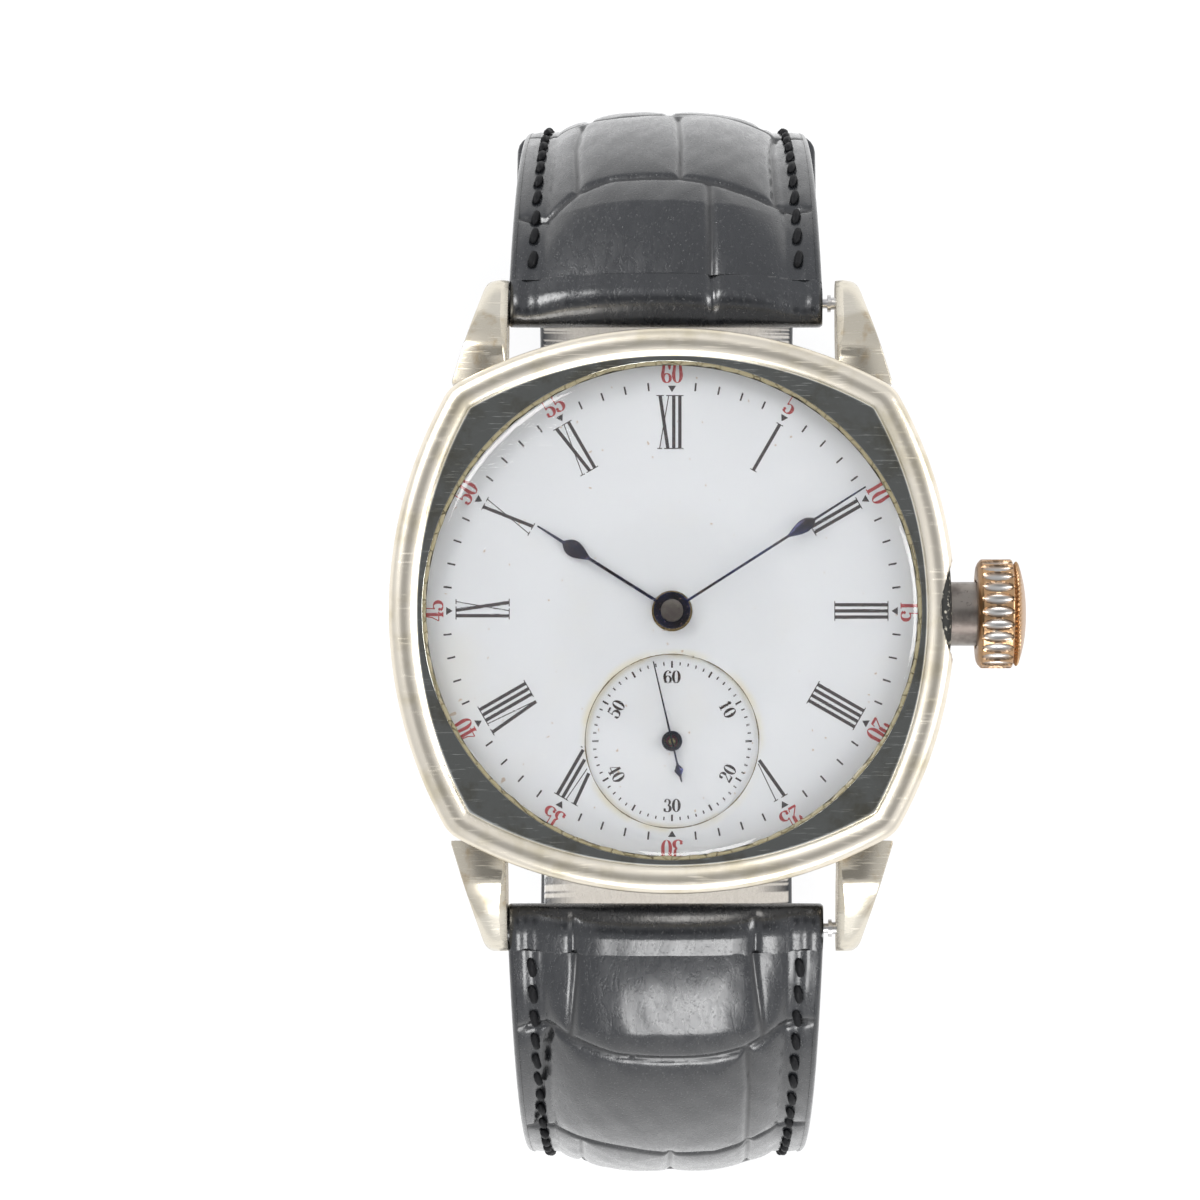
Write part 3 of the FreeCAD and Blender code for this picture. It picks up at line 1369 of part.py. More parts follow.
def make_pallet_fork():
    """The anchor with two stones over the escape wheel, and the fork towards the balance."""
    to_wheel = angle_between(PALLET, ESCAPE)
    to_balance = angle_between(PALLET, BALANCE)
    arm = float(size("escape_radius")) * 0.62
    reach = float(size("fork_length")) - roller_radius - 0.12
    low, thick = 3.6, 0.24
    plate = rod(0.4, (0, 0, low), thick)
    pieces = [arbor(arbor_radius, pallet_bridge_low + 0.05, TRAIN_HIGH)]
    for hand in (-1, 1):
        angle = to_wheel + hand * math.radians(68)
        beam = Part.makeBox(arm, 0.34, thick, FreeCAD.Vector(0, -0.17, low))
        beam.rotate(FreeCAD.Vector(0, 0, 0), FreeCAD.Vector(0, 0, 1), math.degrees(angle))
        pieces.append(beam)
    lever = Part.makeBox(reach, 0.3, thick, FreeCAD.Vector(0, -0.15, low))
    lever.rotate(FreeCAD.Vector(0, 0, 0), FreeCAD.Vector(0, 0, 1), math.degrees(to_balance))
    pieces.append(lever)
    at_axis("pallet_fork", plate.fuse(pieces), PALLET)


roller_radius = 0.75


def make_balance():
    """A three-armed balance on its staff, with the roller; the flat hairspring below it."""
    rim_out = float(size("balance_radius"))
    rim_in = rim_out - float(size("balance_rim"))
    low = balance_low
    wheel = rod(rim_out, (0, 0, low), 0.36).cut(rod(rim_in, (0, 0, low - 1), 3))
    pieces = [arbor(arbor_radius, 1.32, TRAIN_HIGH), rod(roller_radius, (0, 0, 3.15), 0.2)]
    for number in range(3):
        bar = Part.makeBox(rim_in + 0.1, 0.5, 0.22, FreeCAD.Vector(0, -0.25, low + 0.07))
        bar.rotate(FreeCAD.Vector(0, 0, 0), FreeCAD.Vector(0, 0, 1), 120 * number + 30)
        pieces.append(bar)
    at_axis("balance_wheel", wheel.fuse(pieces), BALANCE)
    at_axis("hairspring", spiral(0.5, 2.3, 5, 12, 0.07, 2.0, 0.16), BALANCE)


balance_low = 2.66


def make_motion_work():
    """Cannon pinion, minute wheel and hour wheel under the dial, and the setting wheel."""
    recess = float(plate_top) - float(size("motion_recess"))
    cannon = float(size("cannon_radius"))
    top = float(size("minute_hand_height")) + 0.3
    leaves = size_count("cannon_leaves")
    pinion = toothed(leaves, float(pitch_radius("cannon_leaves", "motion_pitch")), recess + 0.05, 0.4,
                     phase_towards(leaves, CENTRE, MINUTE))
    tube = rod(cannon, (0, 0, recess + 0.05), top - recess - 0.05)
    at_axis("cannon_pinion", pinion.fuse(tube).cut(rod(0.3, (0, 0, 0), float(size("minute_hand_height")))),
            CENTRE)
    minute_teeth = size_count("minute_teeth")
    wheel = toothed(minute_teeth, float(pitch_radius("minute_teeth", "motion_pitch")), recess + 0.12,
                    0.2, phase_towards(minute_teeth, MINUTE, CENTRE, 0.5))
    distance = math.hypot(*MINUTE)
    share = distance / (size_count("minute_leaves") + size_count("hour_teeth"))
    small = toothed(size_count("minute_leaves"), share * size_count("minute_leaves"), recess + 0.32, 0.5,
                    phase_towards(size_count("minute_leaves"), MINUTE, CENTRE))
    at_axis("minute_wheel", wheel.fuse(small).cut(rod(0.25, (0, 0, 0), 9)), MINUTE)
    wheel = toothed(size_count("hour_teeth"), share * size_count("hour_teeth"), recess + 0.52, 0.2,
                    phase_towards(size_count("hour_teeth"), CENTRE, MINUTE, 0.5))
    pipe = rod(hour_pipe_radius, (0, 0, recess + 0.52),
               float(size("hour_hand_height")) + 0.2 - recess - 0.52)
    at_axis("hour_wheel", wheel.fuse(pipe).cut(rod(cannon + running.number, (0, 0, 0), 12)), CENTRE)
    teeth = size_count("setting_teeth")
    radius = teeth * float(size("motion_pitch")) / 2
    ahead = (phase_towards(minute_teeth, MINUTE, CENTRE, 0.5)
             - phase_towards(minute_teeth, MINUTE, SETTING))
    wheel = toothed(teeth, radius, recess + 0.12, 0.25,
                    phase_towards(teeth, SETTING, MINUTE, 0.5 - ahead)).cut(rod(0.25, (0, 0, 0), 9))
    at_axis("setting_wheel", wheel, SETTING)


SETTING = from_point(MINUTE, -14.0, pitch_radius("minute_teeth", "motion_pitch")
                     + size("setting_teeth") * size("motion_pitch") / 2 + 0.02)


def make_winding_work():
    """Winding pinion and clutch on the stem, crown wheel and ratchet wheel under the back."""
    pinion_radius = float(pitch_radius("winding_teeth", "winding_pitch"))
    pinion = toothed(size_count("winding_teeth"), pinion_radius, 0.0,
                     float(size("winding_pinion_length")), 0.5)
    pinion = pinion.cut(rod(size("stem_radius") + running, (0, 0, -1), 5))
    item = add_shape("winding_pinion", pinion)
    lay_on_stem(item, size("winding_pinion_start"))
    clutch = rod(size("clutch_radius"), (0, 0, 0), float(size("clutch_length")))
    groove = rod(4, (0, 0, clutch_groove), clutch_groove_width).cut(
        rod(clutch_core, (0, 0, 0), 5))
    clutch = clutch.fuse(toothed(14, 1.45, 0.0, 0.3)).cut(
        [groove, rod(size("stem_radius") + running, (0, 0, -1), 5)])
    item = add_shape("clutch", clutch)
    lay_on_stem(item, clutch_start)
    for name, alias, point, other in (("crown_wheel", "crown_wheel_teeth", CROWN_WHEEL, BARREL),
                                      ("ratchet_wheel", "ratchet_teeth", BARREL, CROWN_WHEEL)):
        teeth = size_count(alias)
        tooth_shift = 0.5 if name == "ratchet_wheel" else 0.0
        wheel = toothed(teeth, float(pitch_radius(alias, "winding_pitch")) - ratchet_ease, ratchet_low,
                        ratchet_thickness, phase_towards(teeth, point, other, tooth_shift))
        bore = 0.6 if name == "ratchet_wheel" else 0.8
        at_axis(name, wheel.cut(rod(bore, (0, 0, 0), 9)), point)


ratchet_ease = 0.02
clutch_groove = 0.75
clutch_groove_width = 0.5
clutch_core = 0.75


def make_levers():
    """Setting lever with its pin in the stem's groove, clutch lever, click and click spring."""
    pin_x = float(lever_groove_start + groove_width / 2)
    arm = float(size("lever_arm"))
    low = float(stem_height) + float(size("stem_radius")) + 0.08
    thick = float(plate_bottom) - 0.08 - low
    lever = rod(0.55, (0, 0, low), thick).fuse([
        Part.makeBox(0.7, arm, thick, FreeCAD.Vector(-0.35, -arm, low)),
        rod(0.35, (0, -arm, low), thick),
        rod(size("lever_pin"), (0, -arm, float(stem_height) + float(size("stem_radius")) / 2 + 0.06), 0.8)])
    lever = lever.cut(rod(0.25, (0, 0, 0), 9)).common(rod(20, (0, 0, 0), low + thick))
    at_axis("setting_lever", lever, (pin_x, arm))
    reach = float(size("yoke_arm"))
    middle = float(clutch_start) + clutch_groove + clutch_groove_width / 2
    yoke_low = float(stem_height) - 0.2
    yoke = rod(0.6, (0, 0, yoke_low), 0.4).fuse([
        Part.makeBox(0.7, reach - 1.2, 0.4, FreeCAD.Vector(-0.35, 0, yoke_low)),
        Part.makeBox(0.26, 1.3, 0.4, FreeCAD.Vector(-0.13, reach - 1.25, yoke_low))])
    at_axis("clutch_lever", yoke.cut(rod(0.25, (0, 0, 0), 9)),
            (middle, -reach - clutch_core - running.number))


def many_sided(radius, point, low, high):
    """A small round piece with twelve sides, its corners on the radius."""
    turns = [2 * math.pi * number / 12 for number in range(12)]
    corners = [(point[0] + float(radius) * math.cos(turn), point[1] + float(radius) * math.sin(turn))
               for turn in turns]
    return slab(corners, float(low), high)


def slab(points, low, high):
    return polygon_prism(points, low, float(high) - float(low))


def upright(radius, point, low, high):
    return rod(radius, (point[0], point[1], float(low)), float(high) - float(low))


def make_plates():
    """Main plate, the two bridges, the balance cock and the pallet bridge, bored for their axes."""
    low, high = float(plate_bottom), float(plate_top)
    flange = float(size("flange_thickness"))
    disc = rod(size("plate_radius"), (0, 0, low), high - low).fuse(
        rod(size("flange_radius"), (0, 0, high - flange), flange))
    recess_depth = float(size("motion_recess"))
    cuts = [upright(2.75, CENTRE, high - recess_depth, high + 1),
            upright(2.6, MINUTE, high - recess_depth, high + 1),
            upright(1.7, SETTING, high - recess_depth, high + 1),
            upright(0.5, CENTRE, 0, 9)]
    slot = float(pitch_radius("winding_teeth", "winding_pitch")) + 0.3
    start = float(size("winding_pinion_start")) - 0.25
    cuts.append(Part.makeBox(float(size("winding_pinion_length")) + 0.45, 2 * slot, 9,
                             FreeCAD.Vector(start, -slot, 0)))
    cuts.append(Part.makeBox(start - float(clutch_start) + 1.1, 3.5, 9,
                             FreeCAD.Vector(float(clutch_start) - 1.1, -1.75, 0)))
    for axis in (THIRD, FOURTH, ESCAPE, PALLET, BALANCE):
        cuts.append(upright(float(size("jewel_radius")), axis, 0, 9))
    cuts.append(upright(0.45, BARREL, 0, 9))
    for x, y in DIAL_FEET:
        cuts.append(upright(dial_foot_radius + 0.05, (x, y), high - dial_foot_length - 0.1, 9))
    cuts += [upright(screw, point, 0, 9) for point in pillar_places()]
    plate = disc.cut(cuts)
    posts = [upright(0.22, MINUTE, high - recess_depth - 0.2, high - recess_depth + 0.75),
             upright(0.22, SETTING, high - recess_depth - 0.2, high - recess_depth + 0.5)]
    add_shape("main_plate", plate.fuse(posts).removeSplitter(), z=back_height)
    make_bridges()


screw = float(size("screw_radius"))


def pillar_places():
    circle = float(size("pillar_circle"))
    turns = [turn for group in PILLARS.values() for turn in group] + [FOOT]
    return [from_point(CENTRE, turn, circle) for turn in turns] + [PALLET_POST]


PALLET_POST = (PALLET[0] - 3.1, PALLET[1] - 2.3)


def click_well(depth):
    """The recess for the click and its spring, beside the ratchet wheel's."""
    ring = rod(click_spring_radius + 0.5, (BARREL[0], BARREL[1], 0), depth)
    sector = slab([BARREL, from_point(BARREL, 74, 9), from_point(BARREL, 115, 9)], 0, depth)
    return ring.common(sector).fuse(rod(click_hub + 0.15, (CLICK[0], CLICK[1], 0), depth))


def finish_bridge(name, shape, turns, bores, extra=None, studs=None):
    """Adds the feet of a bridge, then bores it for its screws and its axes."""
    low, high = float(bridge_bottom), float(bridge_top)
    circle = float(size("pillar_circle"))
    feet = [upright(size("pillar_radius"), from_point(CENTRE, turn, circle), low, plate_bottom)
            for turn in turns]
    cuts = []
    for turn in turns:
        point = from_point(CENTRE, turn, circle)
        cuts.append(upright(screw, point, 0, 9))
        cuts.append(upright(float(size("screw_head_radius")) + 0.05, point, 0, low + screw_sink + 0.02))
    cuts += [upright(radius, axis, 0, 9) for axis, radius in bores]
    cuts += extra or []
    shape = shape.fuse(feet).cut(cuts)
    if studs:
        shape = shape.fuse(studs)
    add_shape(name, shape.removeSplitter(), z=back_height)


def make_bridges():
    low, high = float(bridge_bottom), float(bridge_top)
    disc = rod(size("plate_radius"), (0, 0, low), high - low)
    well = upright(float(size("balance_radius")) + 0.35, BALANCE, 0, 9)
    seam = float(size("bridge_seam"))
    edge = -float(pitch_radius("crown_wheel_teeth", "winding_pitch")) - 0.5
    inner = CROWN_WHEEL[0] + edge
    big = 15.0
    jewel = float(size("jewel_radius"))
    upper = slab([(-4.6, 1.2), (inner, 1.2), (inner, edge), (big, edge), (big, big), (-4.6, big)], low, high)
    ratchet_radius = float(pitch_radius("ratchet_teeth", "winding_pitch")) + 0.25
    crown_radius = float(pitch_radius("crown_wheel_teeth", "winding_pitch")) + 0.25
    start = float(size("winding_pinion_start")) - 0.2
    reach = 1.6
    wells = [upright(ratchet_radius, BARREL, 0, ratchet_low + ratchet_thickness + 0.1),
             upright(crown_radius, CROWN_WHEEL, 0, ratchet_low + ratchet_thickness + 0.1),
             click_well(ratchet_low + ratchet_thickness + 0.1),
             Part.makeBox(float(size("winding_pinion_length")) + 0.4, 2 * reach, 2,
                          FreeCAD.Vector(start, -reach, ratchet_low))]
    finish_bridge("barrel_bridge", disc.common(upper).cut(well), PILLARS["barrel_bridge"],
                  [(BARREL, 0.65)], wells, [upright(click_stud, CLICK, ratchet_low, high)])
    lower = slab([(-big, -big), (big, -big), (big, edge - seam), (inner - seam, edge - seam),
                  (inner - seam, 1.2 - seam), (-big, 1.2 - seam)], low, high)
    finish_bridge("train_bridge", disc.common(lower).cut(well), PILLARS["train_bridge"],
                  [(THIRD, jewel), (FOURTH, jewel), (ESCAPE, jewel), (CENTRE, 0.33)])
    foot = from_point(CENTRE, FOOT, size("pillar_circle"))
    cock = disc.common(slab([(-big, 1.3), (-4.9, 1.3), (-4.9, big), (-big, big)], low, high)).cut(well)
    turn = angle_between(BALANCE, foot)
    span = math.hypot(foot[0] - BALANCE[0], foot[1] - BALANCE[1])
    arm = Part.makeBox(span, 2.4, 0.8, FreeCAD.Vector(0, -1.2, low))
    arm.rotate(FreeCAD.Vector(0, 0, 0), FreeCAD.Vector(0, 0, 1), math.degrees(turn))
    arm.translate(FreeCAD.Vector(BALANCE[0], BALANCE[1], 0))
    table = upright(1.5, BALANCE, low, low + 0.8)
    finish_bridge("balance_cock", cock.fuse([arm, table]), (FOOT,), [(BALANCE, jewel)])
    pallet = upright(0.7, PALLET, pallet_bridge_low, pallet_bridge_low + 0.3).fuse([
        upright(0.8, PALLET_POST, pallet_bridge_low, plate_bottom),
        link(PALLET, PALLET_POST, 1.0, pallet_bridge_low, pallet_bridge_low + 0.3)])
    pivot = arbor_radius + float(size("pivot_clearance"))
    pallet = pallet.cut([upright(pivot, PALLET, 0, 9), upright(screw, PALLET_POST, 0, 9)])
    add_shape("pallet_bridge", pallet.removeSplitter(), z=back_height)


def link(start, end, width, low, high):
    """A straight bar between two upright axes."""
    span = math.hypot(end[0] - start[0], end[1] - start[1])
    bar = Part.makeBox(span, width, high - low, FreeCAD.Vector(0, -width / 2, low))
    bar.rotate(FreeCAD.Vector(0, 0, 0), FreeCAD.Vector(0, 0, 1), math.degrees(angle_between(start, end)))
    bar.translate(FreeCAD.Vector(start[0], start[1], 0))
    return bar


def make_small_parts():
    """Bridge screws, and the jewels that the pivots run in."""
    head = float(size("screw_head_radius"))
    head_top = float(bridge_bottom) + screw_sink
    shank_end = float(plate_top) - 0.3
    solids = []
    for turn in [turn for group in PILLARS.values() for turn in group] + [FOOT]:
        point = from_point(CENTRE, turn, size("pillar_circle"))
        solids.append(many_sided(screw, point, bridge_bottom, shank_end).fuse(
            many_sided(head, point, bridge_bottom, head_top)))
    solids.append(many_sided(screw, PALLET_POST, pallet_bridge_low, shank_end).fuse(
        many_sided(head, PALLET_POST, pallet_bridge_low - screw_sink, pallet_bridge_low)))
    add_shape("bridge_screws", Part.makeCompound(solids), z=back_height)
    radius = float(size("jewel_radius"))
    thick = float(size("jewel_thickness"))
    hole = arbor_radius + float(size("pivot_clearance"))
    seats = [(axis, float(plate_bottom)) for axis in (THIRD, FOURTH, ESCAPE, PALLET, BALANCE)]
    seats += [(axis, float(bridge_top) - thick) for axis in (THIRD, FOURTH, ESCAPE)]
    seats.append((BALANCE, balance_jewel_low))
    jewels = []
    for axis, low in seats:
        opening = many_sided(hole / math.cos(math.pi / 12), axis, low - 1, low + 2)
        jewels.append(many_sided(radius, axis, low, low + thick).cut(opening))
    add_shape("jewels", Part.makeCompound(jewels), z=back_height)


screw_sink = 0.33
pallet_bridge_low = 3.1
balance_jewel_low = 1.3


def make_click():
    """The click that holds the ratchet wheel, and its spring."""
    low = ratchet_low + 0.05
    span = math.hypot(CLICK_TIP[0] - CLICK[0], CLICK_TIP[1] - CLICK[1])
    turn = math.degrees(angle_between(CLICK, CLICK_TIP))
    arm = Part.makeBox(span, 0.5, 0.35, FreeCAD.Vector(0, -0.1, low))
    arm.rotate(FreeCAD.Vector(0, 0, 0), FreeCAD.Vector(0, 0, 1), turn)
    click = rod(click_hub, (0, 0, low), 0.35).fuse(arm).cut(rod(click_stud + running.number, (0, 0, 0), 9))
    at_axis("click", click, CLICK)
    middle = from_point(BARREL, 96.0, click_spring_radius)
    outline = []
    for radius in (click_spring_radius, click_spring_radius + 0.12):
        side = [from_point(BARREL, angle, radius) for angle in range(92, 113, 4)]
        outline.append(side if radius == click_spring_radius else side[::-1])
    points = [(x - middle[0], y - middle[1]) for x, y in outline[0] + outline[1]]
    at_axis("click_spring", polygon_prism(points, low, 0.3), middle)


CLICK = from_point(BARREL, 74.0, 6.0)
CLICK_TIP = from_point(BARREL, 92.0, 5.05)
click_hub = 0.55
click_stud = 0.22
click_spring_radius = 5.75


make_steps = (make_bezel, make_case_middle, make_case_back, make_crystal, make_cement, make_tube,
              make_crown, make_stem, make_dial, make_seconds_dial, make_seconds_hand,
              make_upper_strap, make_lower_strap, make_buckle_frame, make_buckle_bar,
              make_buckle_tongue, make_fixed_keeper, make_free_keeper, make_barrel, make_train,
              make_pallet_fork, make_balance, make_motion_work, make_winding_work, make_levers,
              make_plates, make_small_parts, make_click)
for make in make_steps:
    make()
make_pear_hand("hour_hand", size("hour_hand_length"), 3.95, 5.75, 0.43,
               size("hour_hand_height"), HOUR_CLOCK_ANGLE)
make_pear_hand("minute_hand", size("minute_hand_length"), 7.05, 9.15, 0.35,
               size("minute_hand_height"), MINUTE_CLOCK_ANGLE)
for name, side in (("upper", 1), ("lower", -1)):
    make_spring_bar(f"spring_bar_{name}", side)
    make_bar_tip(f"bar_tip_{name}_right", side, 1)
    make_bar_tip(f"bar_tip_{name}_left", side, -1)
doc.recompute()

# Every step must have worked before anything is written

for item in doc.Objects:
    if "Invalid" in item.State or "Error" in item.State:
        raise RuntimeError(f"{item.Name} failed: {item.State}")
SUBPART_KINDS = ("PartDesign::Body", "Part::Feature", "Part::Cylinder")
subparts = [item for item in doc.Objects if item.TypeId in SUBPART_KINDS]
for item in subparts:
    if item.Shape.isNull() or not item.Shape.isValid():
        raise RuntimeError(f"{item.Label} has no valid shape")
os.makedirs("parts", exist_ok=True)
for item in subparts:
    item.Shape.exportStep(f"parts/{item.Label}.step")
    box = item.Shape.BoundBox
    print(f"{item.Label}: {len(item.Shape.Solids)} solids, {item.Shape.Volume:.2f} mm3")
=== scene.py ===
import math

import bmesh
import bpy
import numpy as np
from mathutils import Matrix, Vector


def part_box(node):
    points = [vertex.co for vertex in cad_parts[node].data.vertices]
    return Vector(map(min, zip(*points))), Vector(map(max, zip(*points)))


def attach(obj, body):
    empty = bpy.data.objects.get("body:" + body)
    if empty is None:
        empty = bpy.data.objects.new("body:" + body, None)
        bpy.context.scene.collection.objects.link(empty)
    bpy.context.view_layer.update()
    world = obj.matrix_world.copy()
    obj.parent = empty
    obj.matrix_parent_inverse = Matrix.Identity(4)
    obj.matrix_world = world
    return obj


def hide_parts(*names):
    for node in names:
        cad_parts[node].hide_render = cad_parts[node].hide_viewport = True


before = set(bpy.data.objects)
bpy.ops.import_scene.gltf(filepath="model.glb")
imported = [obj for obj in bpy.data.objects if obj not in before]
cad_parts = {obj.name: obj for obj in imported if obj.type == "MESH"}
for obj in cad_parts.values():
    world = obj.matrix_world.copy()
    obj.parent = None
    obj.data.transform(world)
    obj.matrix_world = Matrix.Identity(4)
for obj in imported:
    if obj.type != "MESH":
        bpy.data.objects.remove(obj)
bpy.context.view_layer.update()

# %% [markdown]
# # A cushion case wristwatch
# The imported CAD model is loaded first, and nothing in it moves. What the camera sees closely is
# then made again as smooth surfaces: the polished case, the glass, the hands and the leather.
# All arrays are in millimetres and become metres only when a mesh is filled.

MM = 0.001
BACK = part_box("case_back")[0].z / MM
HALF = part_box("bezel")[1].x / MM
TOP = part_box("bezel")[1].z / MM - BACK
print(f"case back at {BACK:.2f} mm, half width {HALF:.2f} mm, bezel {TOP:.2f} mm thick")

# %% [markdown]
# ## Grids of points
# Every new piece is one or more grids of points. Two numbers, one along and one across, give a
# point, and neighbouring points make four-sided faces. Closing a grid joins its last row or
# column to its first, and points that fall together at a pole are merged at the end.

# %% Grids to meshes


def grid_faces(rows, columns, close_rows=False, close_columns=False):
    """Four-sided faces between the neighbours of a grid, counted row by row."""
    row, column = np.meshgrid(np.arange(rows if close_rows else rows - 1),
                              np.arange(columns if close_columns else columns - 1), indexing="ij")
    next_row, next_column = (row + 1) % rows, (column + 1) % columns
    faces = np.stack([row * columns + column, row * columns + next_column,
                      next_row * columns + next_column, next_row * columns + column], -1)
    return faces.reshape(-1, 4)


def tidy_mesh(mesh, sharp):
    """Merges points that coincide, turns the faces outwards and marks the sharp edges."""
    work = bmesh.new()
    work.from_mesh(mesh)
    bmesh.ops.remove_doubles(work, verts=work.verts, dist=2e-7)
    bmesh.ops.recalc_face_normals(work, faces=work.faces)
    work.to_mesh(mesh)
    work.free()
    mesh.polygons.foreach_set("use_smooth", np.ones(len(mesh.polygons), bool))
    mesh.set_sharp_from_angle(angle=math.radians(sharp))


def piece(name, grids, body, material, sharp=35, marks=None):
    """One object from grids of (points, close_rows, close_columns). marks holds named values
    per point, which the material can read as attributes."""
    points, faces, count = [], [], 0
    for grid, close_rows, close_columns in grids:
        rows, columns = grid.shape[:2]
        faces.append(grid_faces(rows, columns, close_rows, close_columns) + count)
        points.append(grid.reshape(-1, 3))
        count += rows * columns
    points, faces = np.concatenate(points), np.concatenate(faces)
    mesh = bpy.data.meshes.new(name)
    mesh.vertices.add(count)
    mesh.vertices.foreach_set("co", (points * MM).astype(np.float32).ravel())
    mesh.loops.add(faces.size)
    mesh.loops.foreach_set("vertex_index", faces.ravel().astype(np.int32))
    mesh.polygons.add(len(faces))
    mesh.polygons.foreach_set("loop_start", np.arange(0, faces.size, 4, dtype=np.int32))
    mesh.update(calc_edges=True)
    for label, values in (marks or {}).items():
        layer = mesh.attributes.new(label, "FLOAT", "POINT")
        layer.data.foreach_set("value", values.astype(np.float32).ravel())
    tidy_mesh(mesh, sharp)
    made = bpy.data.objects.new(name, mesh)
    bpy.context.scene.collection.objects.link(made)
    mesh.materials.append(material)
    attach(made, body)
    print(f"{name}: {len(mesh.polygons)} faces")
    return made


def turned(profile, count):
    """A profile of (radius, height) turned about Z: one row per profile point."""
    angle = np.linspace(0, 2 * math.pi, count, endpoint=False)
    radius, height = np.asarray(profile, float).T
    return np.stack([radius[:, None] * np.cos(angle), radius[:, None] * np.sin(angle),
                     np.repeat(height[:, None], count, 1)], -1)


def arc(centre, radius, start, stop, count):
    """Points on a circle between two angles in degrees."""
    angle = np.radians(np.linspace(start, stop, count))
    return np.stack([centre[0] + radius * np.cos(angle), centre[1] + radius * np.sin(angle)], -1)


def capped(section):
    """Closes both ends of a tube of rows, each with a row that lies in the end's middle."""
    first, last = (row.mean(1, keepdims=True) + 0 * row for row in (section[:1], section[-1:]))
    return np.concatenate([first, section, last])


print("grid helpers ready")

# %% [markdown]
# ## Finishes
# Real metal is never one colour: it has a thin tarnish, fine scratches from wear and small
# changes of gloss. Each finish here is noise of several sizes, read from Object coordinates in
# millimetres, which drives colour, gloss and a very low relief.

# %% Node helpers


class Finish:
    """A material under construction: its nodes, and short ways to add and join them."""

    def __init__(self, name, **values):
        self.material = bpy.data.materials.new(name)
        self.material.use_nodes = True
        self.tree = self.material.node_tree
        self.shader = self.tree.nodes["Principled BSDF"]
        self.height = None
        for label, value in values.items():
            self.shader.inputs[label.replace("_", " ")].default_value = value
        self.coordinates = self.add("ShaderNodeTexCoord").outputs["Object"]

    def add(self, kind, **settings):
        """A new node with its settings."""
        node = self.tree.nodes.new(kind)
        for label, value in settings.items():
            setattr(node, label, value)
        return node

    def join(self, source, target):
        """A link from an output to an input."""
        self.tree.links.new(source, target)

    def scaled(self, scale, turn=(0, 0, 0)):
        """Coordinates in millimetres, times a scale along each axis."""
        node = self.add("ShaderNodeMapping")
        node.inputs["Scale"].default_value = tuple(value / MM for value in scale)
        node.inputs["Rotation"].default_value = tuple(math.radians(value) for value in turn)
        self.join(self.coordinates, node.inputs["Vector"])
        return node.outputs["Vector"]

    def noise(self, scale, detail=4.0, turn=(0, 0, 0), distortion=0.0):
        """Noise with so many blobs per millimetre along each axis."""
        node = self.add("ShaderNodeTexNoise")
        for label, number in (("Scale", 1.0), ("Detail", detail), ("Roughness", 0.55),
                              ("Distortion", distortion)):
            node.inputs[label].default_value = number
        self.join(self.scaled(scale, turn), node.inputs["Vector"])
        return node.outputs["Fac"]

    def cells(self, scale, feature="DISTANCE_TO_EDGE"):
        """Distance within irregular cells, so many of them to a millimetre."""
        node = self.add("ShaderNodeTexVoronoi", feature=feature)
        node.inputs["Scale"].default_value = 1.0
        self.join(self.scaled(scale), node.inputs["Vector"])
        return node.outputs["Distance"]

    def attribute(self, name):
        """A named value that the mesh carries at its points."""
        return self.add("ShaderNodeAttribute", attribute_name=name).outputs["Fac"]

    def steps(self, value, low, high, start=0.0, stop=1.0):
        """Maps a range of a value to another, clamped and smooth."""
        node = self.add("ShaderNodeMapRange", interpolation_type="SMOOTHSTEP")
        for label, number in (("From Min", low), ("From Max", high),
                              ("To Min", start), ("To Max", stop)):
            node.inputs[label].default_value = number
        self.join(value, node.inputs["Value"])
        return node.outputs["Result"]

    def maths(self, kind, first, second):
        """One sum of two sockets or numbers."""
        node = self.add("ShaderNodeMath", operation=kind)
        for value, target in ((first, node.inputs[0]), (second, node.inputs[1])):
            if isinstance(value, (int, float)):
                target.default_value = value
            else:
                self.join(value, target)
        return node.outputs[0]

    def blend(self, amount, first, second):
        """Mixes two colours, or a colour over a socket."""
        node = self.add("ShaderNodeMix", data_type="RGBA")
        for value, target in ((amount, node.inputs["Factor"]), (first, node.inputs["A"]),
                              (second, node.inputs["B"])):
            if isinstance(value, tuple):
                target.default_value = (*value, 1.0)
            elif isinstance(value, (int, float)):
                target.default_value = value
            else:
                self.join(value, target)
        return node.outputs["Result"]

    def colour(self, socket):
        """Joins the base colour."""
        self.join(socket, self.shader.inputs["Base Color"])

    def gloss(self, socket):
        """Joins the roughness."""
        self.join(socket, self.shader.inputs["Roughness"])

    def relief(self, value, depth):
        """Adds a relief whose full range is a depth in millimetres."""
        node = self.add("ShaderNodeBump")
        node.inputs["Strength"].default_value = 1.0
        node.inputs["Distance"].default_value = depth * MM
        self.join(value, node.inputs["Height"])
        if self.height is not None:
            self.join(self.height, node.inputs["Normal"])
        self.height = node.outputs["Normal"]
        self.join(self.height, self.shader.inputs["Normal"])


def scratches(finish, fine, depth):
    """Three sets of long thin noise, each turned another way, as rubbing leaves them."""
    total = None
    for turn in (12, 71, 133):
        line = finish.noise((fine * 0.05, fine, fine * 0.3), detail=2.0, turn=(0, 0, turn))
        cut = finish.steps(line, 0.64, 0.72)
        total = cut if total is None else finish.maths("MAXIMUM", total, cut)
    finish.relief(total, depth)
    return total


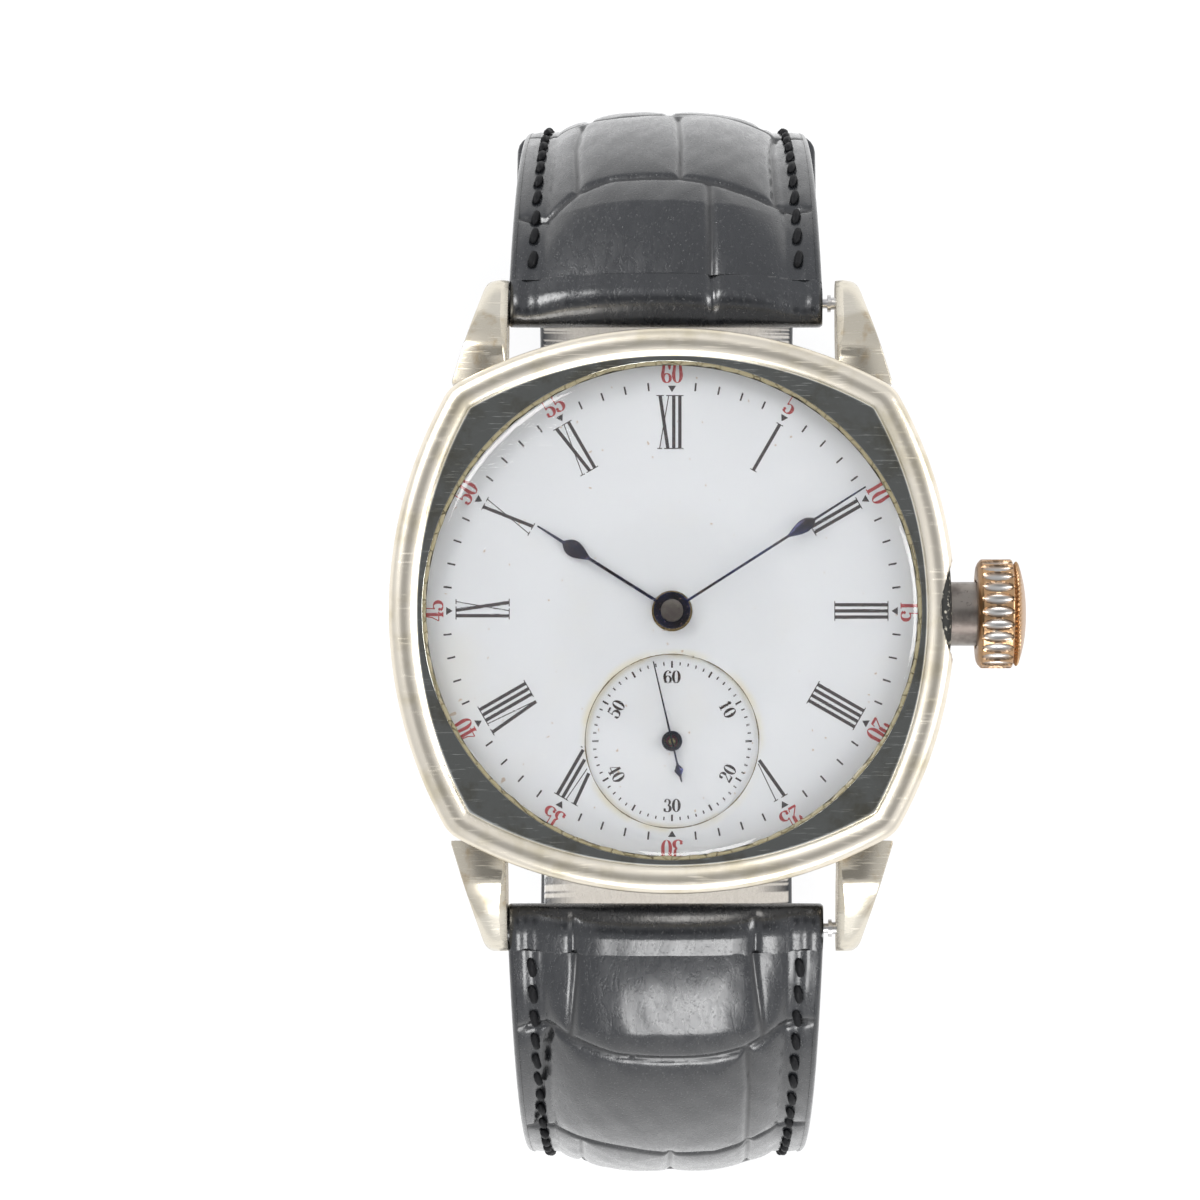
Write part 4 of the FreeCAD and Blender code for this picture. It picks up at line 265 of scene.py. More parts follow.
def polished_metal(name, bright, tarnished, roughness, wear=0.5, fine=7.0):
    """Polished metal under a broken film of tarnish, with fine scratches."""
    finish = Finish(name, Metallic=1.0)
    film = finish.steps(finish.noise((0.5, 0.5, 0.5), detail=6.0), 0.42, 0.68)
    spots = finish.steps(finish.noise((4.0, 4.0, 4.0), detail=3.0), 0.60, 0.74)
    marks = scratches(finish, fine, 0.001)
    tarnish = finish.maths("MAXIMUM", finish.maths("MULTIPLY", film, wear), spots)
    finish.colour(finish.blend(tarnish, bright, tarnished))
    softened = finish.maths("MULTIPLY_ADD", finish.maths("ADD", tarnish, marks), 0.10)
    softened.node.inputs[2].default_value = roughness
    finish.gloss(softened)
    return finish.material


print("finish helpers ready")

# %% [markdown]
# ## Metals of the case and the movement
# The case is worn nickel silver, warm where the polish has gone. The movement's plates are
# frosted and gilt, its small steel parts are polished, and the hands are blued by heat.

# %% Metal finishes
nickel = polished_metal("worn_nickel", (0.74, 0.72, 0.69), (0.36, 0.31, 0.24), 0.13, wear=0.35)
steel = polished_metal("polished_steel", (0.66, 0.66, 0.67), (0.42, 0.40, 0.38), 0.22, wear=0.3)
satin = polished_metal("satin_steel", (0.64, 0.63, 0.62), (0.44, 0.41, 0.37), 0.32, wear=0.4)
brass = polished_metal("gilt_brass", (0.83, 0.64, 0.30), (0.52, 0.36, 0.16), 0.26, wear=0.5)
patina = polished_metal("grey_patina", (0.30, 0.27, 0.24), (0.12, 0.10, 0.09), 0.34, wear=0.9)


def frosted_plate():
    """Plated brass with the fine grain of blasting, and a soft sheen."""
    finish = Finish("frosted_plate", Metallic=1.0)
    grain = finish.noise((28, 28, 28), detail=2.0)
    cloud = finish.steps(finish.noise((0.4, 0.4, 0.4)), 0.35, 0.7)
    finish.colour(finish.blend(cloud, (0.72, 0.68, 0.58), (0.62, 0.56, 0.44)))
    finish.gloss(finish.steps(grain, 0.3, 0.7, 0.34, 0.5))
    finish.relief(grain, 0.004)
    return finish.material


def blued_steel():
    """Steel let down to a dark blue: nearly black where it meets the light squarely."""
    finish = Finish("blued_steel", Metallic=0.9)
    heat = finish.steps(finish.noise((0.9, 0.9, 0.9), detail=3.0), 0.38, 0.66)
    specks = finish.steps(finish.noise((9, 9, 9), detail=2.0), 0.62, 0.72)
    base = finish.blend(heat, (0.016, 0.022, 0.075), (0.028, 0.018, 0.020))
    finish.colour(finish.blend(specks, base, (0.10, 0.06, 0.035)))
    finish.gloss(finish.steps(specks, 0.0, 1.0, 0.24, 0.5))
    finish.relief(specks, 0.004)
    return finish.material


def ruby():
    """Clouded red stone with a wet polish."""
    finish = Finish("ruby", Roughness=0.08, IOR=1.76)
    cloud = finish.noise((3, 3, 3))
    finish.colour(finish.blend(cloud, (0.55, 0.02, 0.09), (0.75, 0.06, 0.18)))
    finish.relief(finish.noise((20, 20, 20)), 0.002)
    return finish.material


plate, blued, jewel = frosted_plate(), blued_steel(), ruby()
print("metals:", [m.name for m in (nickel, steel, satin, brass, patina, plate, blued, jewel)])

# %% [markdown]
# ## The cushion outline
# The case seen from the front is four flat arcs with rounded corners. It is easiest to walk
# round it by the direction its edge faces: on a side the point is the side's centre plus a
# radius in that direction, and at a corner it is the corner's centre plus the corner radius.
# Moving the outline inwards only makes both radii smaller.

# %% Cushion outline
SIDE_RADIUS = 23.8
CORNER_RADIUS = 2.0


def cushion(facing, inset):
    """Points of the outline moved inwards by inset, for edge directions in radians."""
    corner = np.maximum(CORNER_RADIUS - inset, 0.05)
    radius = SIDE_RADIUS - inset - corner
    reach = SIDE_RADIUS - HALF
    meet = (-reach + np.sqrt(2 * radius**2 - reach**2)) / 2
    spread = np.arctan2(meet, meet + reach)
    quarter = np.round(facing / (math.pi / 2))
    local = facing - quarter * math.pi / 2
    side = np.abs(local) <= spread
    x = np.where(side, -reach + radius * np.cos(local), meet)
    y = np.where(side, radius * np.sin(local), np.sign(local) * meet)
    x = x + corner * np.cos(local)
    y = y + corner * np.sin(local)
    turn = quarter * math.pi / 2
    return np.stack([x * np.cos(turn) - y * np.sin(turn), x * np.sin(turn) + y * np.cos(turn)], -1)


def facings(count=400):
    """Directions round the outline, close together where the corners bend."""
    even = np.linspace(0, 2 * math.pi, count, endpoint=False)
    return even - 0.06 * np.sin(4 * even)


def cushion_wall(profile, count=400):
    """A profile of (inset, height) carried round the cushion outline, one row per point."""
    facing = facings(count)
    rows = [np.concatenate([cushion(facing, inset), np.full((count, 1), BACK + height)], -1)
            for inset, height in profile]
    return np.stack(rows)


def round_wall(profile, count=400):
    """Rows on circles that match the outline's points in direction."""
    facing = facings(count)
    rows = [np.stack([radius * np.cos(facing), radius * np.sin(facing),
                      np.full(count, BACK + height)], -1) for radius, height in profile]
    return np.stack(rows)


print("outline at a corner:", cushion(np.array([math.pi / 4]), 0.0).round(2))

# %% [markdown]
# ## Bezel
# The front ring is one solid piece: a bright bead follows the cushion, and inside it a flat
# land runs to the round opening for the glass. The section is carried round the outline, and
# its inner rows change from the cushion to a circle. Beside the crown the flank is cut away by
# the cutter's circle, so the points there are pushed in to the floor of that notch.

# %% Bezel
BEZEL_SEAT = 6.75
BEAD = 1.5
LAND = TOP - 0.4
OPENING, LEDGE = 13.4, 0.2
LEDGE_TOP, LEDGE_FOOT, RING_BORE = 8.0, 7.55, 14.42
NOTCH_RADIUS, NOTCH_DEPTH, STEM = 3.9, 0.75, 3.9
SCRAPE_REACH, SCRAPE_HALF, SCRAPE_DEPTH, SCRAPE_EDGE = 0.78, 2.8, 0.18, 0.08
ROUND_COUNT = 480

BEAD_TOP, BEAD_HALF = np.array([BEAD / 2, TOP - 0.75]), np.array([BEAD / 2, 0.75])
bead_section = np.concatenate([
    [(0.6, BEZEL_SEAT), (0.06, BEZEL_SEAT), (0.0, BEZEL_SEAT + 0.06)],
    [(0.0, height) for height in np.linspace(BEZEL_SEAT + 0.2, TOP - 0.85, 12)],
    BEAD_TOP + BEAD_HALF * [-1, 1] * np.abs(arc((0, 0), 1.0, 172, 92, 14))**0.9,
    BEAD_TOP + BEAD_HALF * np.abs(arc((0, 0), 1.0, 88, 8, 14))**0.9 * [1, 0.5] + [0, 0.375],
    [(BEAD + 0.01, LAND + 0.02), (BEAD + 0.07, LAND)],
])
outer_rows = cushion_wall(bead_section, ROUND_COUNT)
inner_rows = round_wall([(OPENING + 0.05, LAND), (OPENING, LAND - 0.05), (OPENING, LEDGE_TOP),
                         (OPENING - LEDGE, LEDGE_TOP), (OPENING - LEDGE, LEDGE_FOOT),
                         (RING_BORE, LEDGE_FOOT), (RING_BORE, BEZEL_SEAT)], ROUND_COUNT)
spread = np.linspace(0, 1, 6)[1:-1, None, None]
land_rows = outer_rows[-1] * (1 - spread) + inner_rows[0] * spread
bezel_points = np.concatenate([outer_rows, land_rows, inner_rows])


def cut_notch(points):
    """Points inside the cutter's circle round the stem go in to the notch's floor, and a lens
    of the bead above it, deepest at the stem and a parabola wide, is scraped by the nail. Both
    come back as one mark, which the bezel's finish paints near black as shade."""
    height = points[..., 2] - BACK - STEM
    inside = (points[..., 1]**2 + height**2 < NOTCH_RADIUS**2) & (points[..., 0] > HALF - 2.0)
    floor = HALF - NOTCH_DEPTH
    x = np.where(inside, np.minimum(points[..., 0], floor), points[..., 0])
    lens = SCRAPE_REACH * (1 - (points[..., 1] / SCRAPE_HALF)**2) - (HALF - points[..., 0])
    cut = np.clip(lens / SCRAPE_EDGE, 0, 1) * (points[..., 0] > HALF - 1.0)
    x = x - SCRAPE_DEPTH * cut * ~inside
    # The mark of the notch and the lens is painted shade: the finish colours these points near black.
    return np.concatenate([x[..., None], points[..., 1:]], -1), np.maximum(inside, cut)


bezel_points, notch_shade_mark = cut_notch(bezel_points)
print(f"{int((notch_shade_mark > 0).sum())} points in the notch")

# %% [markdown]
# ## The bezel's finish
# The bead is polished and warm, the land is duller and grey-green from old cleaning, and the
# notch is rough, with ivory specks on a near black that is painted shade: the dark of the recess
# and of the lens above it. Two marks on the points, land and notch, tell the material where each
# begins.

# %% Bezel finish
on_land = np.zeros_like(notch_shade_mark)
on_land[len(outer_rows) - 1:len(outer_rows) + len(land_rows) + 1] = 1
bezel_finish = Finish("worn_bezel_and_notch_shade", Metallic=1.0)
film = bezel_finish.steps(bezel_finish.noise((0.45, 0.45, 0.45), detail=6.0), 0.45, 0.7)
rubbed = scratches(bezel_finish, 9.0, 0.0012)
notch = bezel_finish.attribute("notch")
ivory = bezel_finish.steps(bezel_finish.noise((3.2, 3.2, 3.2), detail=5.0), 0.56, 0.66)
metal_colour = bezel_finish.blend(film, (0.84, 0.77, 0.645), (0.70, 0.625, 0.47))
# Painted shade: the notch and the lens above it are near black, with ivory specks.
notch_shade_colour = bezel_finish.blend(ivory, (0.035, 0.035, 0.033), (0.34, 0.32, 0.27))
land = bezel_finish.attribute("land")
land_colour = bezel_finish.blend(film, (0.60, 0.61, 0.57), (0.44, 0.42, 0.34))
metal_colour = bezel_finish.blend(land, metal_colour, land_colour)
bezel_finish.colour(bezel_finish.blend(notch, metal_colour, notch_shade_colour))
dulled = bezel_finish.maths("MULTIPLY_ADD", rubbed, 0.10)
bezel_finish.join(bezel_finish.steps(land, 0.0, 1.0, 0.30, 0.10), dulled.node.inputs[2])
rough = bezel_finish.maths("MULTIPLY", notch, 0.62)
bezel_finish.gloss(bezel_finish.maths("MAXIMUM", dulled, rough))
bezel = piece("bezel_ring", [(bezel_points, True, True)], "case", bezel_finish.material,
              sharp=40, marks={"notch": notch_shade_mark, "land": on_land})
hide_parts("bezel")

# %% [markdown]
# ## Band
# The band is a plain cushion wall round a bored hole, closed by joining the last row to the
# first. It is set in a little from the bezel, which leaves the dark joint line under it.

# %% Band
INSET = 0.15
BACK_SEAT = 2.2
BORE = 13.55
band_section = cushion_wall([
    (INSET + 0.4, BACK_SEAT), (INSET + 0.04, BACK_SEAT), (INSET, BACK_SEAT + 0.04), (INSET, 3.5),
    (INSET, 5.0), (INSET, BEZEL_SEAT - 0.1), (INSET + 0.08, BEZEL_SEAT), (INSET + 0.5, BEZEL_SEAT),
])
band_hole = round_wall([(BORE, BEZEL_SEAT), (BORE, BACK_SEAT)])
piece("case_band", [(np.concatenate([band_section, band_hole]), True, True)], "case", nickel)

# %% [markdown]
# ## The back as a dish
# One grid goes from the middle of the outside, round the edge, and back to the middle inside.
# The flat outside is the outline itself at smaller and smaller shares of its size.

# %% Case back
BACK_ROUND = 1.5
edge = arc((INSET + BACK_ROUND, BACK_ROUND), BACK_ROUND, 270, 180, 12)
back_seat = [(INSET, BACK_SEAT - 0.03), (INSET + 0.03, BACK_SEAT)]
back_wall = cushion_wall(np.concatenate([edge, back_seat]))


def shrunk(row, shares, height):
    """Rows that run from an outline towards the axis, at shares of its size."""
    rows = np.stack([row * [share, share, 1] for share in shares])
    rows[..., 2] = BACK + height
    return rows


back_floor = shrunk(back_wall[0], [1e-6, 0.15, 0.3, 0.45, 0.6, 0.75, 0.9], 0.0)
FLOOR = 0.7
back_inside = round_wall([(13.4, BACK_SEAT), (13.3, 1.2), (12.8, FLOOR), (8.0, FLOOR), (4.0, FLOOR),
                          (1e-6, FLOOR)])
back_points = np.concatenate([back_floor, back_wall, back_inside])
case_back = piece("case_back_dish", [(back_points, False, True)], "case", nickel)
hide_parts("case_back")

# %% [markdown]
# ## Lugs
# Each horn tapers towards its tip in both views. Its section is a rounded four-sided shape
# whose inner front edge is cut to a bright narrow slope. One horn is a section carried along
# Y, whose sides, front and back change on the way, and the other three are its mirror images.

# %% Lugs
GAP = 9.0
LUG_ROOT, LUG_TIP = 12.4, 18.45
LUG_STEPS, TIP_STEPS = 44, 14
NOSE = 0.55


def lug_section(y):
    """Width, front and back of the horn at distances y from the dial's centre: straight runs
    between measured stations, rounded off by a quarter circle over the nose."""
    width = 2.95 - 1.80 * np.clip((y - 12.6) / (LUG_TIP - 12.6), 0, 1)
    front = np.interp(y, [12.4, 14.6, 15.2, 16.4, 17.6, 18.1], [6.55, 6.5, 6.2, 5.35, 4.35, 3.85])
    back = np.interp(y, [12.4, 13.8, 15.0, 17.6, 18.45], [2.25, 2.2, 1.5, 1.0, 1.2])
    nose = np.clip((y - (LUG_TIP - NOSE)) / NOSE, 0, 1)
    fall = 1 - np.sqrt(np.clip(1 - nose**2, 0, 1))
    middle = (front + back) / 2
    front = front - (front - middle) * fall * 0.7
    back = back + (middle - back) * fall * 0.7
    width = width * (1 - 0.35 * fall)
    return width, front, back


def horn():
    """A closed section of fourteen points carried along the horn: one row per station, with
    the last stations spaced as the sine of an even angle."""
    last = LUG_TIP - 0.65 * (1 - np.sin(np.linspace(0, math.pi / 2, TIP_STEPS)))
    y = np.concatenate([np.linspace(LUG_ROOT, 17.8, LUG_STEPS - TIP_STEPS), last])
    width, front, back = lug_section(y)
    slope = np.clip((y - 13.0) / 3.0, 0, 1) * 0.34
    bevel = np.full_like(y, 0.12)
    facet = np.clip((y - 15.5) / 2.5, 0, 1) * 0.5 + 0.12
    corners = [
        (GAP + 0 * y, back + bevel), (GAP + bevel, back), (GAP + width * 0.5, back),
        (GAP + width - bevel, back), (GAP + width, back + bevel),
        (GAP + width, (front + back) / 2), (GAP + width, front - facet),
        (GAP + width - facet * 0.35, front - facet * 0.3), (GAP + width - facet * 0.7, front - 0.02),
        (GAP + width * 0.5, front + 0.03), (GAP + slope * 0.9 + 0.08, front),
        (GAP + slope * 0.45 + 0.03, front - slope * 0.55),
        (GAP + 0 * y, front - slope - 0.06), (GAP + 0 * y, (front + back) / 2),
    ]
    return capped(np.stack([np.stack([x, y, BACK + z], -1) for x, z in corners], 1))


lug_points = horn()
lug_grids, tips = [], []
for x_sign in (1, -1):
    for y_sign in (1, -1):
        lug_grids.append((lug_points * [x_sign, y_sign, 1], False, True))
        ragged = 0.35 * np.sin(lug_points[..., 0] * 2.2)
        tips.append(np.clip((lug_points[..., 1] - 16.1) / 0.5 + ragged, 0, 1))
print(f"four horns of {lug_points.shape[0]} x {lug_points.shape[1]} points")

# %% [markdown]
# ## The lugs' finish
# The tips are rubbed bright by the sleeve and the rest has gone yellow-brown. The mark tip
# grows towards each horn's end, and low noise breaks its border.

# %% Lug finish
lug_finish = Finish("worn_lug", Metallic=1.0)
near_tip = lug_finish.attribute("tip")
broken = lug_finish.noise((0.35, 0.35, 0.35), detail=3.0)
bright_tip = lug_finish.steps(lug_finish.maths("ADD", near_tip, broken), 0.7, 1.4)
brown = lug_finish.steps(lug_finish.noise((1.2, 0.8, 0.8), detail=6.0), 0.50, 0.70)
below = lug_finish.blend(brown, (0.62, 0.565, 0.46), (0.52, 0.43, 0.30))
lug_finish.colour(lug_finish.blend(bright_tip, below, (0.74, 0.69, 0.585)))
lug_marks = scratches(lug_finish, 8.0, 0.0015)
lug_finish.gloss(lug_finish.steps(lug_marks, 0.0, 1.0, 0.26, 0.40))
lugs = piece("case_lugs", lug_grids, "case", lug_finish.material, sharp=28,
             marks={"tip": np.concatenate([t.ravel() for t in tips])})
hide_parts("case_middle")

# %% [markdown]
# ## Glass
# The glass is a low dome with a wall of even thickness, one closed profile turned about the
# axis. It could be cut from a sphere, but a turned profile gives the edge its own shape too.

# %% Glass
GLASS = 13.37
EDGE_TOP = 8.7
RISE = 1.7
SHOULDER, INSIDE = GLASS - 0.13, GLASS - 0.27
GLASS_FOOT = 8.01


def dome(radius, edge, rise, count):
    """A circle's arc from the axis to the edge: height falls with the square of the distance."""
    r = np.linspace(1e-6, radius, count)
    big = (radius**2 + rise**2) / (2 * rise)
    return np.stack([r, BACK + edge + rise - big + np.sqrt(big**2 - r**2)], -1)


outer = dome(SHOULDER, EDGE_TOP, RISE, 40)
inner = dome(INSIDE, 8.1, RISE, 40)[::-1]
rim = [(GLASS, BACK + EDGE_TOP - 0.2), (GLASS, BACK + GLASS_FOOT), (GLASS - 0.24, BACK + GLASS_FOOT)]
glass_points = turned(np.concatenate([outer, rim, inner]), 256)

glass_finish = Finish("crystal_glass", Roughness=0.0, IOR=1.49)
glass_finish.shader.inputs["Transmission Weight"].default_value = 1.0
smears = glass_finish.noise((0.25, 0.6, 0.4), detail=3.0)
hairlines = scratches(glass_finish, 9.0, 0.0006)
haze = glass_finish.maths("ADD", smears, hairlines)
glass_finish.gloss(glass_finish.maths("MULTIPLY", haze, 0.012))
glass_finish.shader.inputs["Base Color"].default_value = (0.985, 0.985, 0.975, 1)
glass = piece("crystal_dome", [(glass_points, False, True)], "case", glass_finish.material,
              sharp=50)
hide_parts("crystal")

# %% [markdown]
# ## Cement
# Old cement fills the corner round the glass: a narrow ring whose surface has shrunk and
# cracked, brown where it is thick and nearly gold where light comes through. Two products of
# sines move its inner edge in and out, so that it looks laid by hand.

# %% Cement ring
cement_finish = Finish("aged_cement")
depth = cement_finish.steps(cement_finish.noise((1.1, 1.1, 1.1), detail=5.0), 0.36, 0.66)
cracks = cement_finish.steps(cement_finish.cells((1.2, 1.2, 1.2)), 0.05, 0.0)
warm = cement_finish.blend(depth, (0.055, 0.042, 0.016), (0.20, 0.165, 0.075))
cement_finish.colour(cement_finish.blend(cracks, (0.22, 0.19, 0.11), warm))
cement_finish.gloss(cement_finish.steps(depth, 0.0, 1.0, 0.25, 0.5))
cement_finish.relief(cracks, 0.05)
angle = np.linspace(0, 2 * math.pi, 720, endpoint=False)
slow, quick = np.sin(7 * angle + 1) * np.sin(23 * angle), np.sin(61 * angle + 2 * np.sin(5 * angle))
shrink = 0.03 * slow + 0.025 * quick
ring = []
for inward, height in ((0.17, 8.70), (0.15, 8.74), (0.12, 8.76), (0.04, 8.79), (-0.01, 8.79),
                       (-0.01, 8.4), (0.02, 8.4)):
    radius = OPENING - inward - shrink * (inward > 0.11)
    level = np.full_like(angle, BACK + height)
    ring.append(np.stack([radius * np.cos(angle), radius * np.sin(angle), level], -1))
cement = piece("crystal_cement_ring", [(np.stack(ring), True, True)], "case",
               cement_finish.material, sharp=60)
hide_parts("crystal_cement")

# %% [markdown]
# ## Crown
# The crown is turned about the stem's axis, +X. Its flutes are lens-shaped: a flute is deepest
# in its middle and dies out towards both ends, so its depth is a half ellipse in both
# directions. The cap is a low dome behind a rope-patterned ring.

# %% Crown
CROWN_START, CROWN_LENGTH, CROWN_RADIUS = 16.62, 2.73, 2.98
FLUTES = 26


def crown_surface():
    """Radius against length for the turned shape, less the flutes, whose depth is the root of
    one minus the squares of the distances along and across, and the rope's sine."""
    length = np.array([0.45, 0.02, 0.0, 0.03, 0.10, 0.22])
    radius = np.array([1.9, 1.9, 1.96, 2.62, 2.78, 2.92])
    flank = np.linspace(0.30, 1.88, 26)
    length = np.concatenate([length, flank, [1.92, 1.97, 2.03, 2.07], np.linspace(2.10, 2.32, 9),
                             [2.36]])
    radius = np.concatenate([radius, np.full(26, CROWN_RADIUS), [2.97, 2.92, 2.74, 2.70],
                             2.70 + 0.12 * np.sin(np.linspace(0, math.pi, 9)), [2.60]])
    cap = np.linspace(2.5, 1e-5, 14)
    length = np.concatenate([length, 2.38 + (CROWN_LENGTH - 2.38) * (1 - (cap / 2.55)**2.4)])
    radius = np.concatenate([radius, cap])
    turn = np.linspace(0, 2 * math.pi, FLUTES * 16, endpoint=False)
    across = ((turn * FLUTES / (2 * math.pi)) % 1.0 - 0.5) * 2
    along = (length - 1.09) / 0.86
    lens = np.clip(1 - along[:, None]**2 - (across[None, :] / 0.90)**2, 0, 1)**0.5
    lens = lens * (radius[:, None] > 2.9)
    rope = 0.05 * np.sin(turn[None, :] * 60 + (length[:, None] - 2.2) * 24)
    rope = rope * ((length > 2.09) & (length < 2.33))[:, None]
    size = radius[:, None] - 0.27 * lens + rope
    x = CROWN_START + np.repeat(length[:, None], len(turn), 1)
    points = np.stack([x, size * np.cos(turn), BACK + STEM + size * np.sin(turn)], -1)
    ridge = np.clip(1.3 - lens * 1.5, 0, 1) * np.ones_like(size)
    dirt = np.exp(-((lens - 0.22) / 0.20)**2) * (lens > 0)
    return points, ridge, dirt


crown_points, ridge, dirt = crown_surface()
skirt = turned([(0.5, 0.0), (1.9, 0.0)], crown_points.shape[1])[:, :, [2, 0, 1]]
skirt = skirt + [CROWN_START + 0.45, 0, BACK + STEM]
print(f"{FLUTES} flutes on {crown_points.shape[0]} x {crown_points.shape[1]} points")

# %% [markdown]
# ## The crown's finish
# Rose gold plate is left on the ridges and worn through in the flutes, where the silvery metal
# shows, and dark dirt keeps to the border between them. Both marks come from the flutes' depth.

# %% Crown finish
crown_finish = Finish("worn_crown", Metallic=1.0)
gilt = crown_finish.attribute("ridge")
worn = crown_finish.steps(crown_finish.noise((1.6, 1.6, 1.6), detail=5.0), 0.14, 0.36)
rose = crown_finish.maths("MULTIPLY", gilt, worn)
gold = crown_finish.blend(rose, (0.50, 0.485, 0.46), (0.47, 0.29, 0.155))
crown_finish.colour(crown_finish.blend(crown_finish.attribute("dirt"), gold, (0.09, 0.07, 0.055)))
crown_marks = scratches(crown_finish, 6.0, 0.004)
crown_finish.gloss(crown_finish.steps(crown_marks, 0.0, 1.0, 0.30, 0.45))
crown = piece("winding_crown", [(np.concatenate([skirt, crown_points]), False, True)], "crown",
              crown_finish.material, sharp=32,
              marks={"ridge": np.concatenate([np.zeros(skirt.shape[:2]), ridge]),
                     "dirt": np.concatenate([np.ones(skirt.shape[:2]), dirt])})
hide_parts("crown")

# %% [markdown]
# ## Hands
# The hour and minute hands are pear hands: a thin stem, a pear, and a fine point. Each has a
# low domed section, so that it catches a line of light. A hand is drawn along +Y and then
# turned to the time that the watch shows.

# %% Hands
HOUR_TURN, MINUTE_TURN, SECOND_TURN = 302.2, 57.4, 346.8
SECONDS_Y = -7.0


def pear_hand(length, pear, half_width, stem, level, turn):
    """Half widths along the hand, given a section that is a low arch over a flat back. The
    pear's half width is a power of the sine of its share, and the point tapers evenly."""
    start, stop = pear
    y = np.concatenate([np.linspace(0.5, start, 24), np.linspace(start, stop, 60)[1:],
                        np.linspace(stop, length, 40)[1:]])
    share = np.clip((y - start) / (stop - start), 0, 1)
    swell = np.sin(math.pi * share**1.55)**0.75 * half_width
    taper = np.where(y > stop, stem + (0.045 - stem) * (y - stop) / (length - stop), stem)
    half = np.maximum(taper, swell)
    side = np.linspace(-1, 1, 13)
    top = 0.16 * np.sqrt(np.maximum(0, 1 - (0.93 * side)**2))
    x = half[:, None] * side
    z = level + 0.03 + top[None, :] * np.minimum(1, half[:, None] / 0.16)**0.6
    front = np.stack([x, np.repeat(y[:, None], 13, 1), BACK + z], -1)
    back = front[:, ::-1].copy()
    back[..., 2] = BACK + level
    return spun(capped(np.concatenate([front, back], 1)), turn)


def spun(points, turn, centre=(0.0, 0.0)):
    """Turns points clockwise, as seen from the front, about an axis of the dial."""
    angle = -math.radians(turn)
    x, y = points[..., 0], points[..., 1]
    return np.stack([centre[0] + x * math.cos(angle) - y * math.sin(angle),
                     centre[1] + x * math.sin(angle) + y * math.cos(angle), points[..., 2]], -1)


def hub(outside, inside, low, high):
    """A flat ring with rounded edges."""
    profile = [(inside, low), (outside - 0.04, low), (outside, low + 0.04), (outside, high - 0.07),
               (outside - 0.07, high), (inside + 0.03, high), (inside, high - 0.03)]
    return turned([(r, BACK + z) for r, z in profile], 96)


HOUR_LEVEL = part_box("hour_hand")[0].z / MM - BACK
MINUTE_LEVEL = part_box("minute_hand")[0].z / MM - BACK
hour = piece("pear_hour_hand", [
    (pear_hand(8.55, (5.05, 6.95), 0.45, 0.085, HOUR_LEVEL + 0.05, HOUR_TURN), False, True),
    (hub(0.92, 0.6, HOUR_LEVEL, HOUR_LEVEL + 0.17), True, True),
], "hour", blued, sharp=45)
minute = piece("pear_minute_hand", [
    (pear_hand(12.35, (7.2, 9.15), 0.36, 0.07, MINUTE_LEVEL + 0.05, MINUTE_TURN), False, True),
    (hub(0.99, 0.62, MINUTE_LEVEL, MINUTE_LEVEL + 0.22), True, True),
], "centre", blued, sharp=45)
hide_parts("hour_hand")
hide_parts("minute_hand")

# %% [markdown]
# ## Seconds hand
# It is the same kind of tube of sections, much finer, with a diamond on its tail and a small
# flat boss. Its level comes from the top of the hand's box, since its pipe reaches far below.

# %% Seconds hand


def second_hand():
    """A hair-thin pointer with a diamond near the end of its tail."""
    y = np.array([-2.26, -2.2, -1.95, -1.62, -1.3, -1.2, -0.5, 0.0, 2.0, 4.42])
    half = np.array([0.03, 0.04, 0.06, 0.25, 0.07, 0.05, 0.05, 0.06, 0.045, 0.03])
    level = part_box("seconds_hand")[1].z / MM - BACK - 0.16
    side = np.array([-1, -0.5, 0, 0.5, 1, 0.6, -0.6])
    lift = np.array([0.02, 0.08, 0.1, 0.08, 0.02, 0, 0])
    section = np.stack([half[:, None] * side, np.repeat(y[:, None], 7, 1),
                        np.repeat(BACK + level + lift[None, :], len(y), 0)], -1)
    arm = spun(capped(section), SECOND_TURN, (0, SECONDS_Y))
    boss = hub(0.55, 0.31, level - 0.02, level + 0.16) + [0, SECONDS_Y, 0]
    return [(arm, False, True), (boss, True, True)]


seconds = piece("fine_seconds_hand", second_hand(), "fourth", blued, sharp=45)
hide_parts("seconds_hand")

# %% [markdown]
# ## Printing on the dial
# Fired ink stands a hair above enamel, so every stroke is a very thin closed ribbon: a line of
# points with a width at each, carried along as a flat four-cornered section. Roman numerals
# have thick and hairline strokes with fine serifs, and stand with their tops outwards.

# %% Ribbons of ink
DIAL_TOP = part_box("dial")[1].z / MM
SECONDS_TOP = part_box("seconds_dial")[1].z / MM
SUNK_RADIUS = 4.67
INK = 0.012


def ribbon(points, widths, level, number=0):
    """A flat strip: the middle line moved half a width to both sides, and closed underneath."""
    points = np.asarray(points, float)
    widths = np.broadcast_to(np.asarray(widths, float), len(points))
    along = np.gradient(points, axis=0)
    along /= np.linalg.norm(along, axis=1)[:, None] + 1e-12
    across = np.stack([-along[:, 1], along[:, 0]], -1) * widths[:, None] / 2
    top, foot = level + INK + 0.0006 * (number % 9), level - 0.004
    corners = [(points + across, top), (points - across, top), (points - across, foot),
               (points + across, foot)]
    section = np.stack([np.concatenate([p, np.full((len(p), 1), z)], 1) for p, z in corners], 1)
    return capped(section), False, True


def stood(points, turn, radius, feet_out=False):
    """Puts (across, up) at a radius on the dial, turned clockwise from 12 o'clock."""
    points = np.asarray(points, float) * (-1 if feet_out else 1) + [0, radius]
    angle = -math.radians(turn)
    return np.stack([points[:, 0] * math.cos(angle) - points[:, 1] * math.sin(angle),
                     points[:, 0] * math.sin(angle) + points[:, 1] * math.cos(angle)], -1)


def straight(start, end, count):
    """Even points between two."""
    share = np.linspace(0, 1, count)[:, None]
    return np.array(start) * (1 - share) + np.array(end) * share


print(f"ink {INK} mm high on the dial at {DIAL_TOP:.2f} mm and the sunk disc at {SECONDS_TOP:.2f} mm")

